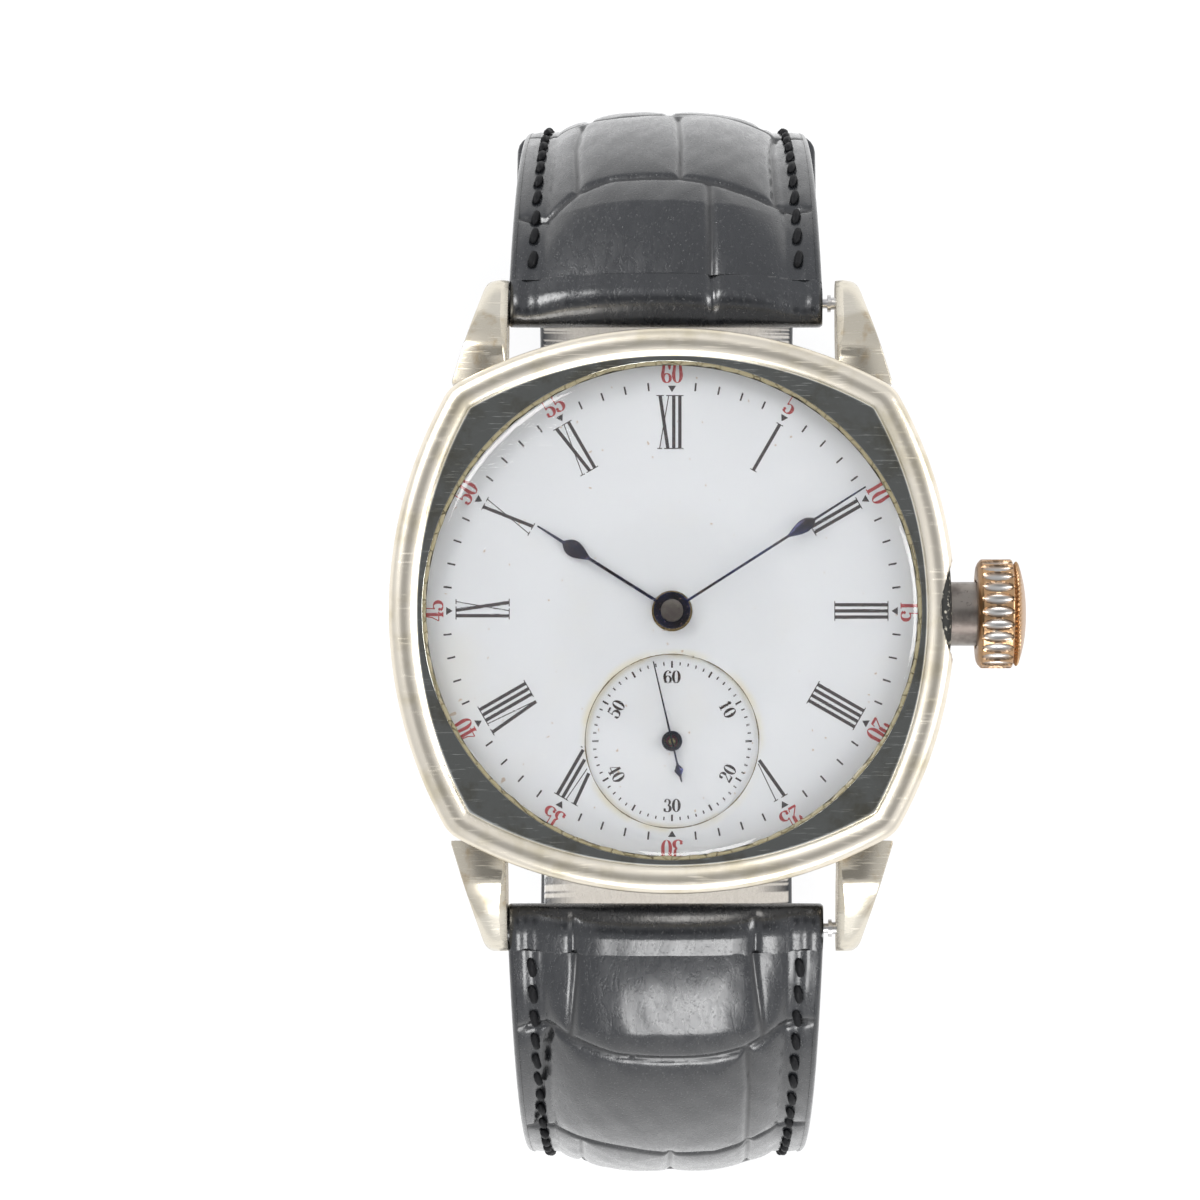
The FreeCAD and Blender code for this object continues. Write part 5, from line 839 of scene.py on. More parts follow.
# %% [markdown]
# ## Roman numerals
# Each letter is a few strokes between two circles, and each stroke ends in fine serifs. A table
# of advances sets how near the letters stand. The numeral at 6 is lost under the sunk disc, and
# its neighbours are cut off where the disc begins.

# %% Roman numerals
HIGH, LOW = 11.62, 8.76
THICK, HAIR, SERIF = 0.18, 0.05, 0.05
ADVANCE = {"II": 0.33, "XI": 0.515, "IX": 0.515, "VI": 0.47, "IV": 0.47, "": 0.0}
STROKES = {
    "I": [(0.0, 0.0, THICK)],
    "X": [(-0.22, 0.2, THICK), (0.245, -0.245, HAIR)],
    "V": [(-0.26, 0.0, THICK), (0.26, 0.045, HAIR)],
}


def roman(text, turn):
    """Strokes and serifs of one numeral, cut off where the sunk seconds dial begins."""
    places, at = [], 0.0
    for before, letter in zip(" " + text, text):
        at += ADVANCE.get((before + letter).strip(), 0.0) if before != " " else 0.0
        places.append((letter, at))
    middle = at / 2
    lines = []
    for letter, at in places:
        for top, foot, width in STROKES[letter]:
            top, foot = at - middle + top, at - middle + foot
            lines.append((straight((top, HIGH), (foot, LOW), 120), width))
            reach = 0.2 if width == THICK else 0.13
            lines.append((straight((top - reach, HIGH), (top + reach, HIGH), 12), SERIF))
            if letter != "V":
                lines.append((straight((foot - reach, LOW), (foot + reach, LOW), 12), SERIF))
    grids = []
    for points, width in lines:
        placed = stood(points, turn, 0)
        clear = np.hypot(placed[:, 0], placed[:, 1] - SECONDS_Y) > SUNK_RADIUS + 0.12
        if clear.sum() > 3:
            grids.append(ribbon(placed[clear], width, DIAL_TOP, len(grids)))
    return grids


def ink(name, dark, worn):
    """Fired ink: a little uneven, with pale pinholes."""
    finish = Finish(name, Roughness=0.45)
    cloud = finish.noise((6, 6, 6), detail=4.0)
    finish.colour(finish.blend(finish.steps(cloud, 0.48, 0.75), dark, worn))
    finish.gloss(finish.steps(cloud, 0.3, 0.7, 0.35, 0.55))
    finish.relief(cloud, 0.002)
    return finish.material


brown_ink = ink("brown_ink", (0.018, 0.009, 0.008), (0.075, 0.035, 0.028))
red_ink = ink("red_ink", (0.46, 0.030, 0.032), (0.62, 0.14, 0.13))
numerals = []
for hour_number, text in enumerate("I II III IIII V . VII VIII IX X XI XII".split(), 1):
    numerals += roman(text.strip("."), hour_number * 30)
piece("dial_numerals", numerals, "case", brown_ink, sharp=30)

# %% [markdown]
# ## Minute strokes and small triangles
# The track has no circle: four short strokes stand between two triangles that point inwards. A
# triangle is a ribbon too, whose width runs out along its length.

# %% Minute strokes and small triangles
track = []
for minute_number in range(60):
    top, foot, count, widths = ((12.36, 11.92, 3, 0.095) if minute_number % 5 else
                                (12.15, 11.82, 8, np.linspace(0.43, 0.02, 8)))
    track.append(ribbon(stood(straight((0, top), (0, foot), count), minute_number * 6, 0), widths,
                        DIAL_TOP))
piece("dial_minute_track", track, "case", brown_ink, sharp=30)

# %% [markdown]
# ## Figures
# The red minutes and the small seconds use figures of the old book kind, with thick and thin
# parts. Each figure is drawn in a box one unit high from arcs and straight lines. A curve is
# thick where it runs up or down and thin where it runs across.

# %% Figures from arcs


def bow(centre, radii, start, stop, thick=0.17, thin=0.05, count=26):
    """Part of an ellipse, thick at its sides and thin at its top and foot."""
    angle = np.radians(np.linspace(start, stop, count))
    points = np.array(centre) + np.array(radii) * np.stack([np.cos(angle), np.sin(angle)], -1)
    return points, thin + (thick - thin) * np.abs(np.cos(angle))**1.6


def bar(start, end, width, count=6):
    """A straight stroke of even width."""
    return straight(start, end, count), np.full(count, width)


def dot(x, y, size=0.15):
    """A round end, made of a short strip that swells and closes."""
    share = np.linspace(-1, 1, 9)
    widths = size * np.sqrt(np.clip(1 - share**2, 0.001, 1))
    return np.stack([np.full(9, x), y + share * size / 2], -1), widths


FIGURES = {
    "0": [bow((0.31, 0.5), (0.23, 0.475), 0, 360, 0.19, 0.045, 48)],
    "1": [bar((0.32, 0.97), (0.32, 0.02), 0.18), bar((0.14, 0.025), (0.50, 0.025), 0.05),
          bar((0.15, 0.80), (0.30, 0.97), 0.055)],
    "2": [bow((0.30, 0.72), (0.20, 0.25), 165, -35, 0.18, 0.05),
          bar((0.46, 0.58), (0.07, 0.07), 0.06), bar((0.06, 0.07), (0.54, 0.07), 0.13),
          bar((0.53, 0.05), (0.57, 0.27), 0.05), dot(0.14, 0.74, 0.17)],
    "3": [bow((0.28, 0.75), (0.19, 0.22), 150, -80, 0.15, 0.05),
          bow((0.27, 0.27), (0.24, 0.25), 80, -155, 0.19, 0.05),
          dot(0.12, 0.80), dot(0.08, 0.22, 0.16)],
    "4": [bar((0.40, 0.98), (0.03, 0.29), 0.05), bar((0.03, 0.28), (0.60, 0.28), 0.055),
          bar((0.42, 0.98), (0.42, 0.02), 0.17), bar((0.26, 0.025), (0.58, 0.025), 0.05)],
    "5": [bar((0.13, 0.93), (0.52, 0.95), 0.12), bar((0.14, 0.96), (0.11, 0.52), 0.05),
          bow((0.27, 0.32), (0.26, 0.29), 125, -150, 0.19, 0.05), dot(0.08, 0.24, 0.16)],
    "6": [bow((0.36, 0.5), (0.29, 0.475), 62, 250, 0.18, 0.045, 34),
          bow((0.32, 0.30), (0.22, 0.275), 0, 360, 0.16, 0.05, 40), dot(0.49, 0.84)],
}
FIGURE_ADVANCE, HEAVIER = 0.66, 1.15


def figures(text, height, turn, radius, level, centre=(0, 0), feet_out=False):
    """A number, centred at a radius: each figure's strokes scaled, moved and stood in place."""
    grids = []
    for place, figure in enumerate(text):
        start = (place - len(text) / 2) * FIGURE_ADVANCE
        for points, widths in FIGURES[figure]:
            flat = (points + [start + 0.02, -0.5]) * height
            placed = stood(flat, turn, radius, feet_out) + centre
            grids.append(ribbon(placed, widths * height * HEAVIER, level, len(grids)))
    return grids


red = []
for minute_number in range(5, 61, 5):
    red += figures(str(minute_number), 0.88, minute_number * 6, 12.74, DIAL_TOP)
piece("dial_red_minutes", red, "case", red_ink, sharp=30)

# %% [markdown]
# ## Print of the small seconds
# The same figures, smaller and brown, stand round the sunk disc, upright to the reader also in
# its lower half. Sixty short strokes follow its edge, every fifth a little longer.

# %% Print of the small seconds
small = []
for number in (60, 10, 20, 30, 40, 50):
    small += figures(str(number), 0.70, number * 6, 3.46, SECONDS_TOP, (0, SECONDS_Y),
                     feet_out=number in (20, 30, 40))
for second in range(60):
    top, foot, width = (4.27, 4.09, 0.07) if second % 5 else (4.3, 3.95, 0.10)
    stroke = stood(straight((0, top), (0, foot), 3), second * 6, 0)
    small.append(ribbon(stroke + [0, SECONDS_Y], width, SECONDS_TOP))
piece("dial_seconds_print", small, "case", brown_ink, sharp=30)

# %% [markdown]
# ## Enamel
# White enamel has depth and a wet gloss. Age shows as faint cream clouds and rust-brown specks,
# mostly round the joint of the sunk disc, where a thin brown line of dirt lies.

# %% Enamel finish


def enamel():
    """Stains are strongest where the distance from the seconds axis is the disc's radius."""
    finish = Finish("white_enamel", Roughness=0.12, IOR=1.5)
    finish.shader.inputs["Coat Weight"].default_value = 0.4
    finish.shader.inputs["Coat Roughness"].default_value = 0.04
    cloud = finish.steps(finish.noise((0.12, 0.12, 0.12), detail=5.0), 0.50, 0.78)
    speck = finish.steps(finish.noise((2.6, 2.6, 2.6), detail=1.0), 0.74, 0.80)
    base = finish.blend(cloud, (0.87, 0.88, 0.90), (0.87, 0.86, 0.83))
    aside = finish.add("ShaderNodeVectorMath", operation="DISTANCE")
    flat = finish.add("ShaderNodeVectorMath", operation="MULTIPLY")
    finish.join(finish.coordinates, flat.inputs[0])
    flat.inputs[1].default_value = (1 / MM, 1 / MM, 0)
    finish.join(flat.outputs[0], aside.inputs[0])
    aside.inputs[1].default_value = (0, SECONDS_Y, 0)
    from_joint = finish.maths("SUBTRACT", aside.outputs["Value"], SUNK_RADIUS + 0.05)
    near = finish.steps(finish.maths("ABSOLUTE", from_joint, 0.0), 0.0, 0.42, 1.0, 0.0)
    patches = finish.steps(finish.noise((0.5, 0.5, 0.5), detail=4.0), 0.35, 0.65)
    patchy = finish.maths("MULTIPLY", near, patches)
    stained = finish.blend(patchy, base, (0.85, 0.80, 0.66))
    finish.colour(finish.blend(finish.maths("MULTIPLY", speck, 0.6), stained, (0.55, 0.36, 0.20)))
    waviness = finish.noise((0.5, 0.5, 0.5), detail=2.0)
    finish.gloss(finish.steps(cloud, 0.0, 1.0, 0.10, 0.20))
    finish.relief(waviness, 0.006)
    return finish.material


enamel_finish = enamel()
joint_dirt = ink("joint_dirt", (0.16, 0.12, 0.055), (0.42, 0.35, 0.22))
angle = np.linspace(0, 2 * math.pi, 361)
circle = np.stack([np.cos(angle), np.sin(angle)], -1) * SUNK_RADIUS
width = 0.05 + 0.025 * np.sin(angle * 3 + 1) * np.sin(angle * 11)
joint = ribbon(circle + [0, SECONDS_Y], width, DIAL_TOP)
piece("dial_joint_line", [joint], "case", joint_dirt, sharp=30)

# %% [markdown]
# ## Leather strap
# Each half runs from its spring bar round the side of the loop to the buckle. Its middle line is
# a straight run at the foot and a quarter of an ellipse that ends at the bar. A section across
# it has a flat lining, rounded painted edges, a flat stitched margin and a padded crown. The
# grain is real relief: creases part the leather into scales that swell a little between them.

# %% The line of the loop
FLAT = 10.0
UPPER_SIDE, LOWER_SIDE = 18.4, 19.9
BAR_Y, BAR_Z = 17.2, 47.5
STRAP_SHIFT = -0.35
THIN, EDGE, PADDING, MARGIN = 1.8, 1.9, 1.5, 1.9
ROOT_WIDTH, END_WIDTH = 17.3, 16.0
UPPER_LEVEL, LOWER_LEVEL = 4.15, 2.65
TAIL_TURN = 71.0


class Line:
    """A strap's middle line as points, outward directions and distances from its spring bar."""

    def __init__(self, y, z, out):
        self.y, self.z, self.out = y, z, out
        self.s = np.concatenate([[0], np.cumsum(np.hypot(np.diff(y), np.diff(z)))])

    def resampled(self, count, start=0.0):
        """The same line with even steps, which may start before the bar along its tangent."""
        s = np.linspace(start, self.s[-1], count)
        first = np.array([self.y[1] - self.y[0], self.z[1] - self.z[0]]) / (self.s[1] - self.s[0])
        before = np.minimum(s, 0)
        made = Line(np.interp(s, self.s, self.y) + before * first[0],
                    np.interp(s, self.s, self.z) + before * first[1],
                    np.stack([np.interp(s, self.s, self.out[:, i]) for i in (0, 1)], -1))
        made.s = s
        return made


def side_line(side, level, turns, reach=UPPER_SIDE):
    """The ellipse at turns in degrees; its height makes it end at the spring bar."""
    lean = math.asin((BAR_Y - FLAT) / reach)
    rise = (BAR_Z - level) / (1 + math.cos(lean))
    t = np.radians(turns)
    y = FLAT + reach * np.sin(t)
    z = level + rise * (1 - np.cos(t))
    out = np.stack([rise * np.sin(t), -reach * np.cos(t)], -1)
    out /= np.linalg.norm(out, axis=1)[:, None]
    return side * y, z, out * [side, 1]


TOP_TURN, LOWER_TOP_TURN = (180 - math.degrees(math.asin((BAR_Y - FLAT) / reach))
                            for reach in (UPPER_SIDE, LOWER_SIDE))


def upper_line():
    """From the upper bar round its side of the loop, and straight on to the buckle's heel bar."""
    y, z, out = side_line(1, UPPER_LEVEL, np.linspace(TOP_TURN, 0, 400))
    heel = np.linspace(FLAT, 3.0, 20)[1:]
    flat = np.tile([0.0, -1.0], (len(heel), 1))
    return Line(np.concatenate([y, heel]), np.concatenate([z, np.full(len(heel), UPPER_LEVEL)]),
                np.concatenate([out, flat]))


def tail_offset(share):
    """How far the tail's middle lies outside the upper half's middle: half the thickness there,
    the padding, a gap and half the tail's own thickness."""
    fade = np.maximum(0, 1 - 1.02 * share)
    return (THIN + (EDGE - THIN) * fade) / 2 + 0.05 + 0.12 + PADDING * fade**0.7 + 0.15 + THIN / 2


def lower_line():
    """From the lower bar down its side, along the foot, where a smooth step takes it over the
    buckle to the upper half's outside, and up that side to the end of the tail."""
    y, z, out = side_line(-1, LOWER_LEVEL, np.linspace(LOWER_TOP_TURN, 0, 400), LOWER_SIDE)
    tail_level = UPPER_LEVEL - tail_offset(1.0)
    run = np.linspace(-FLAT, FLAT, 80)[1:]
    share = np.clip((run + 7) / 7, 0, 1)
    drop = LOWER_LEVEL + (tail_level - LOWER_LEVEL) * share**2 * (3 - 2 * share)
    flat = np.tile([0.0, -1.0], (len(run), 1))
    turns = np.linspace(0, TAIL_TURN, 200)[1:]
    tail_y, tail_z, tail_out = side_line(1, UPPER_LEVEL, turns)
    offset = tail_offset(1 - turns / TOP_TURN)
    return Line(np.concatenate([y, run, tail_y + tail_out[:, 0] * offset]),
                np.concatenate([z, drop, tail_z + tail_out[:, 1] * offset]),
                np.concatenate([out, flat, tail_out]))


side_length = Line(*side_line(1, UPPER_LEVEL, np.linspace(TOP_TURN, 0, 400))).s[-1]
upper, lower = upper_line(), lower_line()
print(f"upper half {upper.s[-1]:.1f} mm, lower half {lower.s[-1]:.1f} mm")

# %% [markdown]
# ## Creases and scales
# A crease is a line of a few points in strap coordinates: millimetres across from the middle,
# and millimetres along from the spring bar. The ones near the case are placed as they lie on
# this leather, and the rest follow the same plan with uneven steps.

# %% Crease lines
UPPER_CREASES = [
    [(-8.2, 5.6), (-6.6, 5.3), (-4.9, 6.7), (-3.2, 7.3), (-1.6, 7.35), (0.8, 7.3), (2.5, 7.0),
     (5.7, 6.2), (8.2, 6.4)],
    [(0.8, 7.3), (0.85, 11.0), (0.7, 17.0)],
    [(2.45, -1.3), (2.5, 3.5), (2.4, 7.0)],
    [(-4.9, 6.7), (-5.1, 12.0), (-4.8, 17.0)],
    [(6.1, 6.3), (6.0, 12.0), (6.3, 17.2)],
]
LOWER_CREASES = [
    [(-8.4, 6.1), (-6.2, 5.6), (-4.6, 6.3), (-2.75, 6.8), (-0.2, 6.96), (2.45, 6.9), (4.2, 6.65),
     (6.2, 5.8), (8.5, 5.5)],
    [(-4.75, -1.3), (-4.95, 2.4), (-5.25, 5.8)],
    [(4.5, -1.3), (4.9, 2.2), (5.4, 6.1)],
    [(-6.3, 5.7), (-6.7, 7.4), (-7.3, 16.3)],
    [(4.5, 6.7), (4.65, 10.0), (4.6, 17.2)],
]


def further_creases(start, stop, seed):
    """Transverse creases every seven or eight millimetres, each with broken lines to the next."""
    random = np.random.default_rng(seed)
    lines, s = [], start
    while s < stop:
        step = random.uniform(7.0, 9.0)
        bend = random.uniform(-0.7, 0.7, 7)
        across = np.linspace(-8.4, 8.4, 7)
        lines.append([(x, s + b + 0.5 * math.cos(x / 3)) for x, b in zip(across, bend)])
        for x in (-5.2, 0.4, 5.4):
            x += random.uniform(-0.8, 0.8)
            lines.append([(x, s + 0.2), (x + random.uniform(-0.3, 0.3), s + step / 2), (x, s + step)])
        s += step
    return lines


def crease_distance(x, s, lines):
    """Distance from every point of a grid to the nearest crease line: for each run of a line,
    the share along it of the nearest spot is held between nought and one."""
    nearest = np.full(x.shape, 9.0)
    for line in lines:
        line = np.array(line)
        low, high = line[:, 1].min() - 3, line[:, 1].max() + 3
        rows = np.flatnonzero((s[:, 0] > low) & (s[:, 0] < high))
        if not len(rows):
            continue
        px, ps = x[rows], s[rows]
        best = nearest[rows]
        for (ax, a), (bx, b) in zip(line, line[1:]):
            length = (bx - ax)**2 + (b - a)**2
            share = np.clip(((px - ax) * (bx - ax) + (ps - a) * (b - a)) / length, 0, 1)
            best = np.minimum(best, np.hypot(px - ax - share * (bx - ax), ps - a - share * (b - a)))
        nearest[rows] = best
    return nearest


def waves(x, s, seed, size):
    """Smooth unevenness: a sum of sines with set directions and phases."""
    random = np.random.default_rng(seed)
    total = np.zeros_like(x)
    for _ in range(9):
        angle, phase = random.uniform(0, math.pi), random.uniform(0, 7)
        scale = random.uniform(0.6, 1.6)
        total += np.sin((x * math.cos(angle) + s * math.sin(angle)) * scale / size + phase)
    return total / 9


print(len(UPPER_CREASES), "and", len(LOWER_CREASES), "creases placed by hand")

# %% [markdown]
# ## Sections of the strap
# A section starts on the lining, goes up one rounded edge, over the face and down the other.
# The face has 130 points across, because the creases, the padding and the sunk line of the
# seam are all real relief there. At the end of the tail the width falls to a blunt point.

# %% Sections of the strap
LINING_COUNT, BEVEL_COUNT, FACE_COUNT = 9, 5, 130
FACE = slice(LINING_COUNT + 2 * BEVEL_COUNT, LINING_COUNT + 2 * BEVEL_COUNT + FACE_COUNT)
ROUND, SEAM, TIP_LENGTH = 0.3, 1.25, 8


def strap_grid(line, creases, tip=False):
    """The closed section carried along a line. Returns the points, marks for crease, edge and
    face, the face's own surface and the half widths."""
    s = line.s
    share = np.clip(s / side_length, 0, 1.2)
    fade = np.maximum(0, 1 - 1.02 * share)
    thick = THIN + (EDGE - THIN) * fade
    padding = 0.12 + PADDING * np.minimum(1, np.maximum(share, 0) / 0.12 + 0.25) * fade**0.7
    half = (END_WIDTH + (ROOT_WIDTH - END_WIDTH) * np.maximum(0, 1 - share / 0.45)) / 2
    if tip:
        left = s[-1] - s
        blunt = np.sqrt(np.clip(1 - (1 - left / TIP_LENGTH)**2.2, 0.0004, 1))
        half = half * np.where(left < TIP_LENGTH, blunt, 1)
    bevel = np.radians(np.linspace(0, 90, BEVEL_COUNT))
    half_thick = thick[:, None] / 2
    side_x = half[:, None] - ROUND + ROUND * np.sin(bevel)
    side_out = -half_thick + ROUND - ROUND * np.cos(bevel)
    flat_share = np.linspace(-1, 1, LINING_COUNT)[None, :]
    lining_x = flat_share * (half[:, None] - ROUND)
    face_x = np.linspace(1, -1, FACE_COUNT)[None, :] * (half[:, None] - ROUND)
    grid_s = np.repeat(s[:, None], FACE_COUNT, 1)
    inner = np.maximum(half[:, None] - MARGIN, 0.4)
    across = np.clip(np.abs(face_x) / inner, 0, 1)
    crown = padding[:, None] * (1 - across**2.6)**0.8
    near = crease_distance(face_x, grid_s, creases)
    wobble = waves(face_x, grid_s, 4, 0.9)
    groove = np.exp(-(near / (0.20 + 0.05 * wobble))**2)
    pillow = 1 - np.exp(-near / 0.9)
    channel = np.exp(-((np.abs(face_x) - (half[:, None] - SEAM)) / 0.28)**2)
    relief = 0.16 * pillow - 0.17 * groove - 0.10 * channel + 0.035 * waves(face_x, grid_s, 9, 0.35)
    inside = np.clip((half[:, None] - np.abs(face_x)) / 0.8, 0.15, 1)
    face_out = half_thick + 0.02 + crown + relief * inside - 0.12
    x = np.concatenate([lining_x, side_x, side_x[:, ::-1], face_x, -side_x, -side_x[:, ::-1]], 1)
    out = np.concatenate([-half_thick + 0 * lining_x, side_out, -side_out[:, ::-1], face_out,
                          -side_out, side_out[:, ::-1]], 1)
    y = line.y[:, None] + line.out[:, :1] * out
    z = line.z[:, None] + line.out[:, 1:] * out
    points = np.stack([STRAP_SHIFT + x, y, z], -1)
    flags = {name: np.zeros(points.shape[:2]) for name in ("crease", "edge", "face")}
    flags["crease"][:, FACE] = groove
    flags["face"][:, FACE] = 1
    flags["edge"][:, LINING_COUNT:FACE.start] = 1
    flags["edge"][:, FACE.stop:] = 1
    flags = {name: np.concatenate([value[:1], value, value[-1:]]) for name, value in flags.items()}
    surface = (STRAP_SHIFT + face_x, y[:, FACE], z[:, FACE])
    return capped(points), flags, surface, half


print(f"{FACE.stop + 2 * BEVEL_COUNT} points round a section, {FACE_COUNT} of them on the face")

# %% [markdown]
# ## End rolls
# At the case each half is turned round its spring bar, and the leather's face stays outside.
# The roll is a ring of radii about the bar: half an ellipse towards the case, and behind the
# bar whatever radius keeps it level with the strap's own face.

# %% End rolls
BORE_RADIUS, ROLL_REACH, ROLL_FOOT, ROLL_BACK = 0.82, 1.42, 1.18, 0.95


def end_roll(line, points):
    """The leather turned round the spring bar, with a bore for it. About the bar's axis its
    outside is half an ellipse towards the case, and level with the strap's face behind it."""
    row = points[1, FACE][::-1]
    out, bar_at = line.out[0], np.array([line.y[0], line.z[0]])
    along = np.array([line.y[1] - line.y[0], line.z[1] - line.z[0]])
    along /= np.linalg.norm(along)
    bar_at = bar_at - along * line.s[0]
    face = (row[:, 1:] - bar_at) @ out
    half = points[1, :, 0].max() - STRAP_SHIFT
    x = STRAP_SHIFT + (row[:, 0] - STRAP_SHIFT) * half / (half - ROUND)
    near_side = np.clip(np.abs(x - STRAP_SHIFT) - half + 0.22, 0, 0.215)
    rounding = np.sqrt(np.clip(1 - near_side**2 / 0.0484, 0, 1))
    angle = np.linspace(0, 2 * math.pi, 96, endpoint=False)[:, None]
    lengthwise, outwards = np.cos(angle), np.sin(angle)
    high = np.where(outwards > 0, face * (0.82 + 0.18 * rounding), ROLL_FOOT + 0 * face)
    ellipse = 1 / np.sqrt((lengthwise / ROLL_REACH)**2 + (outwards / high)**2)
    behind = ROLL_BACK / np.maximum(lengthwise, 1e-6)
    level = np.minimum((high - 0.012) / np.maximum(np.abs(outwards), 1e-6), behind)
    inner = np.where(lengthwise > 0, np.minimum(ellipse, behind), ellipse)
    radius = np.where((lengthwise > 0) & (outwards > 0), level, inner)
    radius = radius * (0.9 + 0.1 * rounding)
    bore = np.full((len(angle), 1), BORE_RADIUS)
    radius = np.concatenate([bore, radius, bore], 1)
    x = np.concatenate([x[:1] - 0.01, x, x[-1:] + 0.01])
    y = bar_at[0] + radius * (lengthwise * along[0] + outwards * out[0])
    z = bar_at[1] + radius * (lengthwise * along[1] + outwards * out[1])
    return np.stack([np.repeat(x[None], len(angle), 0), y, z], -1)


print(f"rolls reach {ROLL_REACH} mm towards the case, round bores of {BORE_RADIUS} mm")

# %% [markdown]
# ## Stitches
# A seam of waxed thread runs along both margins in a sunk channel. Each stitch is its own grain
# of thread, a few dozen faces, leaning a little as a saddler's stitches do.

# %% Stitches
STITCH_LENGTH, STITCH_WIDTH, LEAN = 1.25, 0.42, 0.16


def thread(centre, along, out, length, width):
    """One stitch: a tube whose radius is the root of one less the fourth power of its share,
    lying along the seam and sunk at both ends."""
    share = np.linspace(-1, 1, 9)
    turn = np.linspace(0, 2 * math.pi, 10, endpoint=False)
    radius = width / 2 * np.sqrt(np.clip(1 - share**4, 0.0001, 1))
    across = np.cross(along, out)
    lift = 0.10 * (1 - share**2) - 0.04
    return (centre[None, None] + along * (share * length / 2)[:, None, None]
            + out * (lift[:, None] + radius[:, None] * np.sin(turn)[None])[..., None]
            + across * (radius[:, None] * np.cos(turn)[None])[..., None])


def stitches(line, surface, half, start, stop, step=1.72):
    """Stitches along both margins, leaning a little, from start to stop along the strap."""
    x, y, z = surface
    grids = []
    for side in (1, -1):
        for s in np.arange(start, stop, step):
            row = int(np.searchsorted(line.s, s))
            if row + 2 >= len(line.s):
                continue
            place = side * (half[row] - SEAM) + STRAP_SHIFT
            column = int(np.argmin(np.abs(x[row] - place)))
            centre = np.array([place, y[row, column], z[row, column]])
            ahead = np.array([0, line.y[row + 2] - line.y[row], line.z[row + 2] - line.z[row]])
            ahead /= np.linalg.norm(ahead)
            ahead = ahead + np.array([LEAN, 0, 0])
            ahead /= np.linalg.norm(ahead)
            out = np.array([0, line.out[row, 0], line.out[row, 1]])
            grids.append((thread(centre + out * 0.10, ahead, out, STITCH_LENGTH, STITCH_WIDTH),
                          False, True))
    return grids


print(f"stitches of {STITCH_LENGTH} by {STITCH_WIDTH} mm")

# %% [markdown]
# ## Leather and thread
# Glazed leather is nearly black where it is seen squarely and bright where it curves away, so
# a clear coat does most of the work. Pores, wrinkles and fibre are three sizes of low relief.
# The marks face and edge keep the pale lining to the inside.

# %% Leather and thread


def leather():
    """Black glazed calf pressed with large scales: pores, fine wrinkles and dulled hollows."""
    finish = Finish("black_leather", Coat_Weight=0.8, Coat_Roughness=0.2)
    face, crease, edge = (finish.attribute(name) for name in ("face", "crease", "edge"))
    cloud = finish.noise((0.35, 0.35, 0.35), detail=5.0)
    pores = finish.steps(finish.cells((4.6, 4.6, 4.6), feature="F1"), 0.05, 0.32)
    wrinkle = finish.noise((2.6, 1.1, 1.1), detail=6.0, distortion=0.8)
    fibre = finish.noise((9, 9, 9), detail=4.0)
    grain = finish.blend(cloud, (0.0035, 0.004, 0.005), (0.009, 0.010, 0.012))
    front = finish.blend(crease, grain, (0.003, 0.003, 0.0035))
    lining = finish.blend(fibre, (0.36, 0.33, 0.29), (0.52, 0.485, 0.43))
    finish.colour(finish.blend(finish.maths("MAXIMUM", face, edge), lining, front))
    shine = finish.steps(wrinkle, 0.3, 0.7, 0.22, 0.36)
    finish.gloss(finish.maths("MAXIMUM", shine, finish.maths("MULTIPLY", crease, 0.6)))
    finish.relief(pores, 0.018)
    finish.relief(wrinkle, 0.035)
    finish.relief(fibre, 0.012)
    return finish.material


def waxed_thread():
    """Black thread whose twist shows as long noise along the strap."""
    finish = Finish("waxed_thread", Specular_IOR_Level=0.15)
    twist = finish.noise((5, 1.6, 1.6), detail=3.0)
    finish.colour(finish.blend(twist, (0.003, 0.003, 0.0035), (0.011, 0.011, 0.012)))
    finish.gloss(finish.steps(twist, 0.3, 0.7, 0.45, 0.7))
    finish.relief(twist, 0.03)
    return finish.material


leather_finish, thread_finish = leather(), waxed_thread()
print("leather and thread ready")

# %% [markdown]
# ## The two halves
# Both halves are made by the same steps: the section along the line, then the stitches on its
# face, then the roll round the bar. Only the lines, the creases and the pointed tail differ.

# %% Strap halves


def strap_half(name, node, line, creases, seam, tip=False):
    """One half of the strap with its stitches and its end roll, in place of a CAD node."""
    points, flags, surface, half = strap_grid(line, creases, tip)
    made = piece(f"{name}_half", [(points, False, True)], "case", leather_finish,
                 sharp=60, marks=flags)
    piece(f"{name}_stitches", stitches(line, surface, half, *seam), "case", thread_finish,
          sharp=60)
    roll = end_roll(line, points)
    piece(f"{name}_roll", [(roll, True, True)], "case", leather_finish, sharp=60,
          marks={"face": np.ones(roll.shape[:2])})
    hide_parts(node)


strap_half("strap_short", "strap_upper", upper.resampled(620, 0.85),
           UPPER_CREASES + further_creases(18.0, 66.0, 11), (2.2, 60.0))
strap_half("strap_long", "strap_lower", lower.resampled(700, 0.85),
           LOWER_CREASES + further_creases(16.6, 112.0, 23), (1.8, 108.0), tip=True)

# %% [markdown]
# ## Keepers
# Two leather loops hold the strap's tail. A loop is a flat band with rounded edges carried round
# a rounded rectangle, so its surface is one path times one section.

# %% Keeper loops
KEEPER_WALL, KEEPER_WIDTH, KEEPER_ROUND = 0.9, 5.0, 0.85


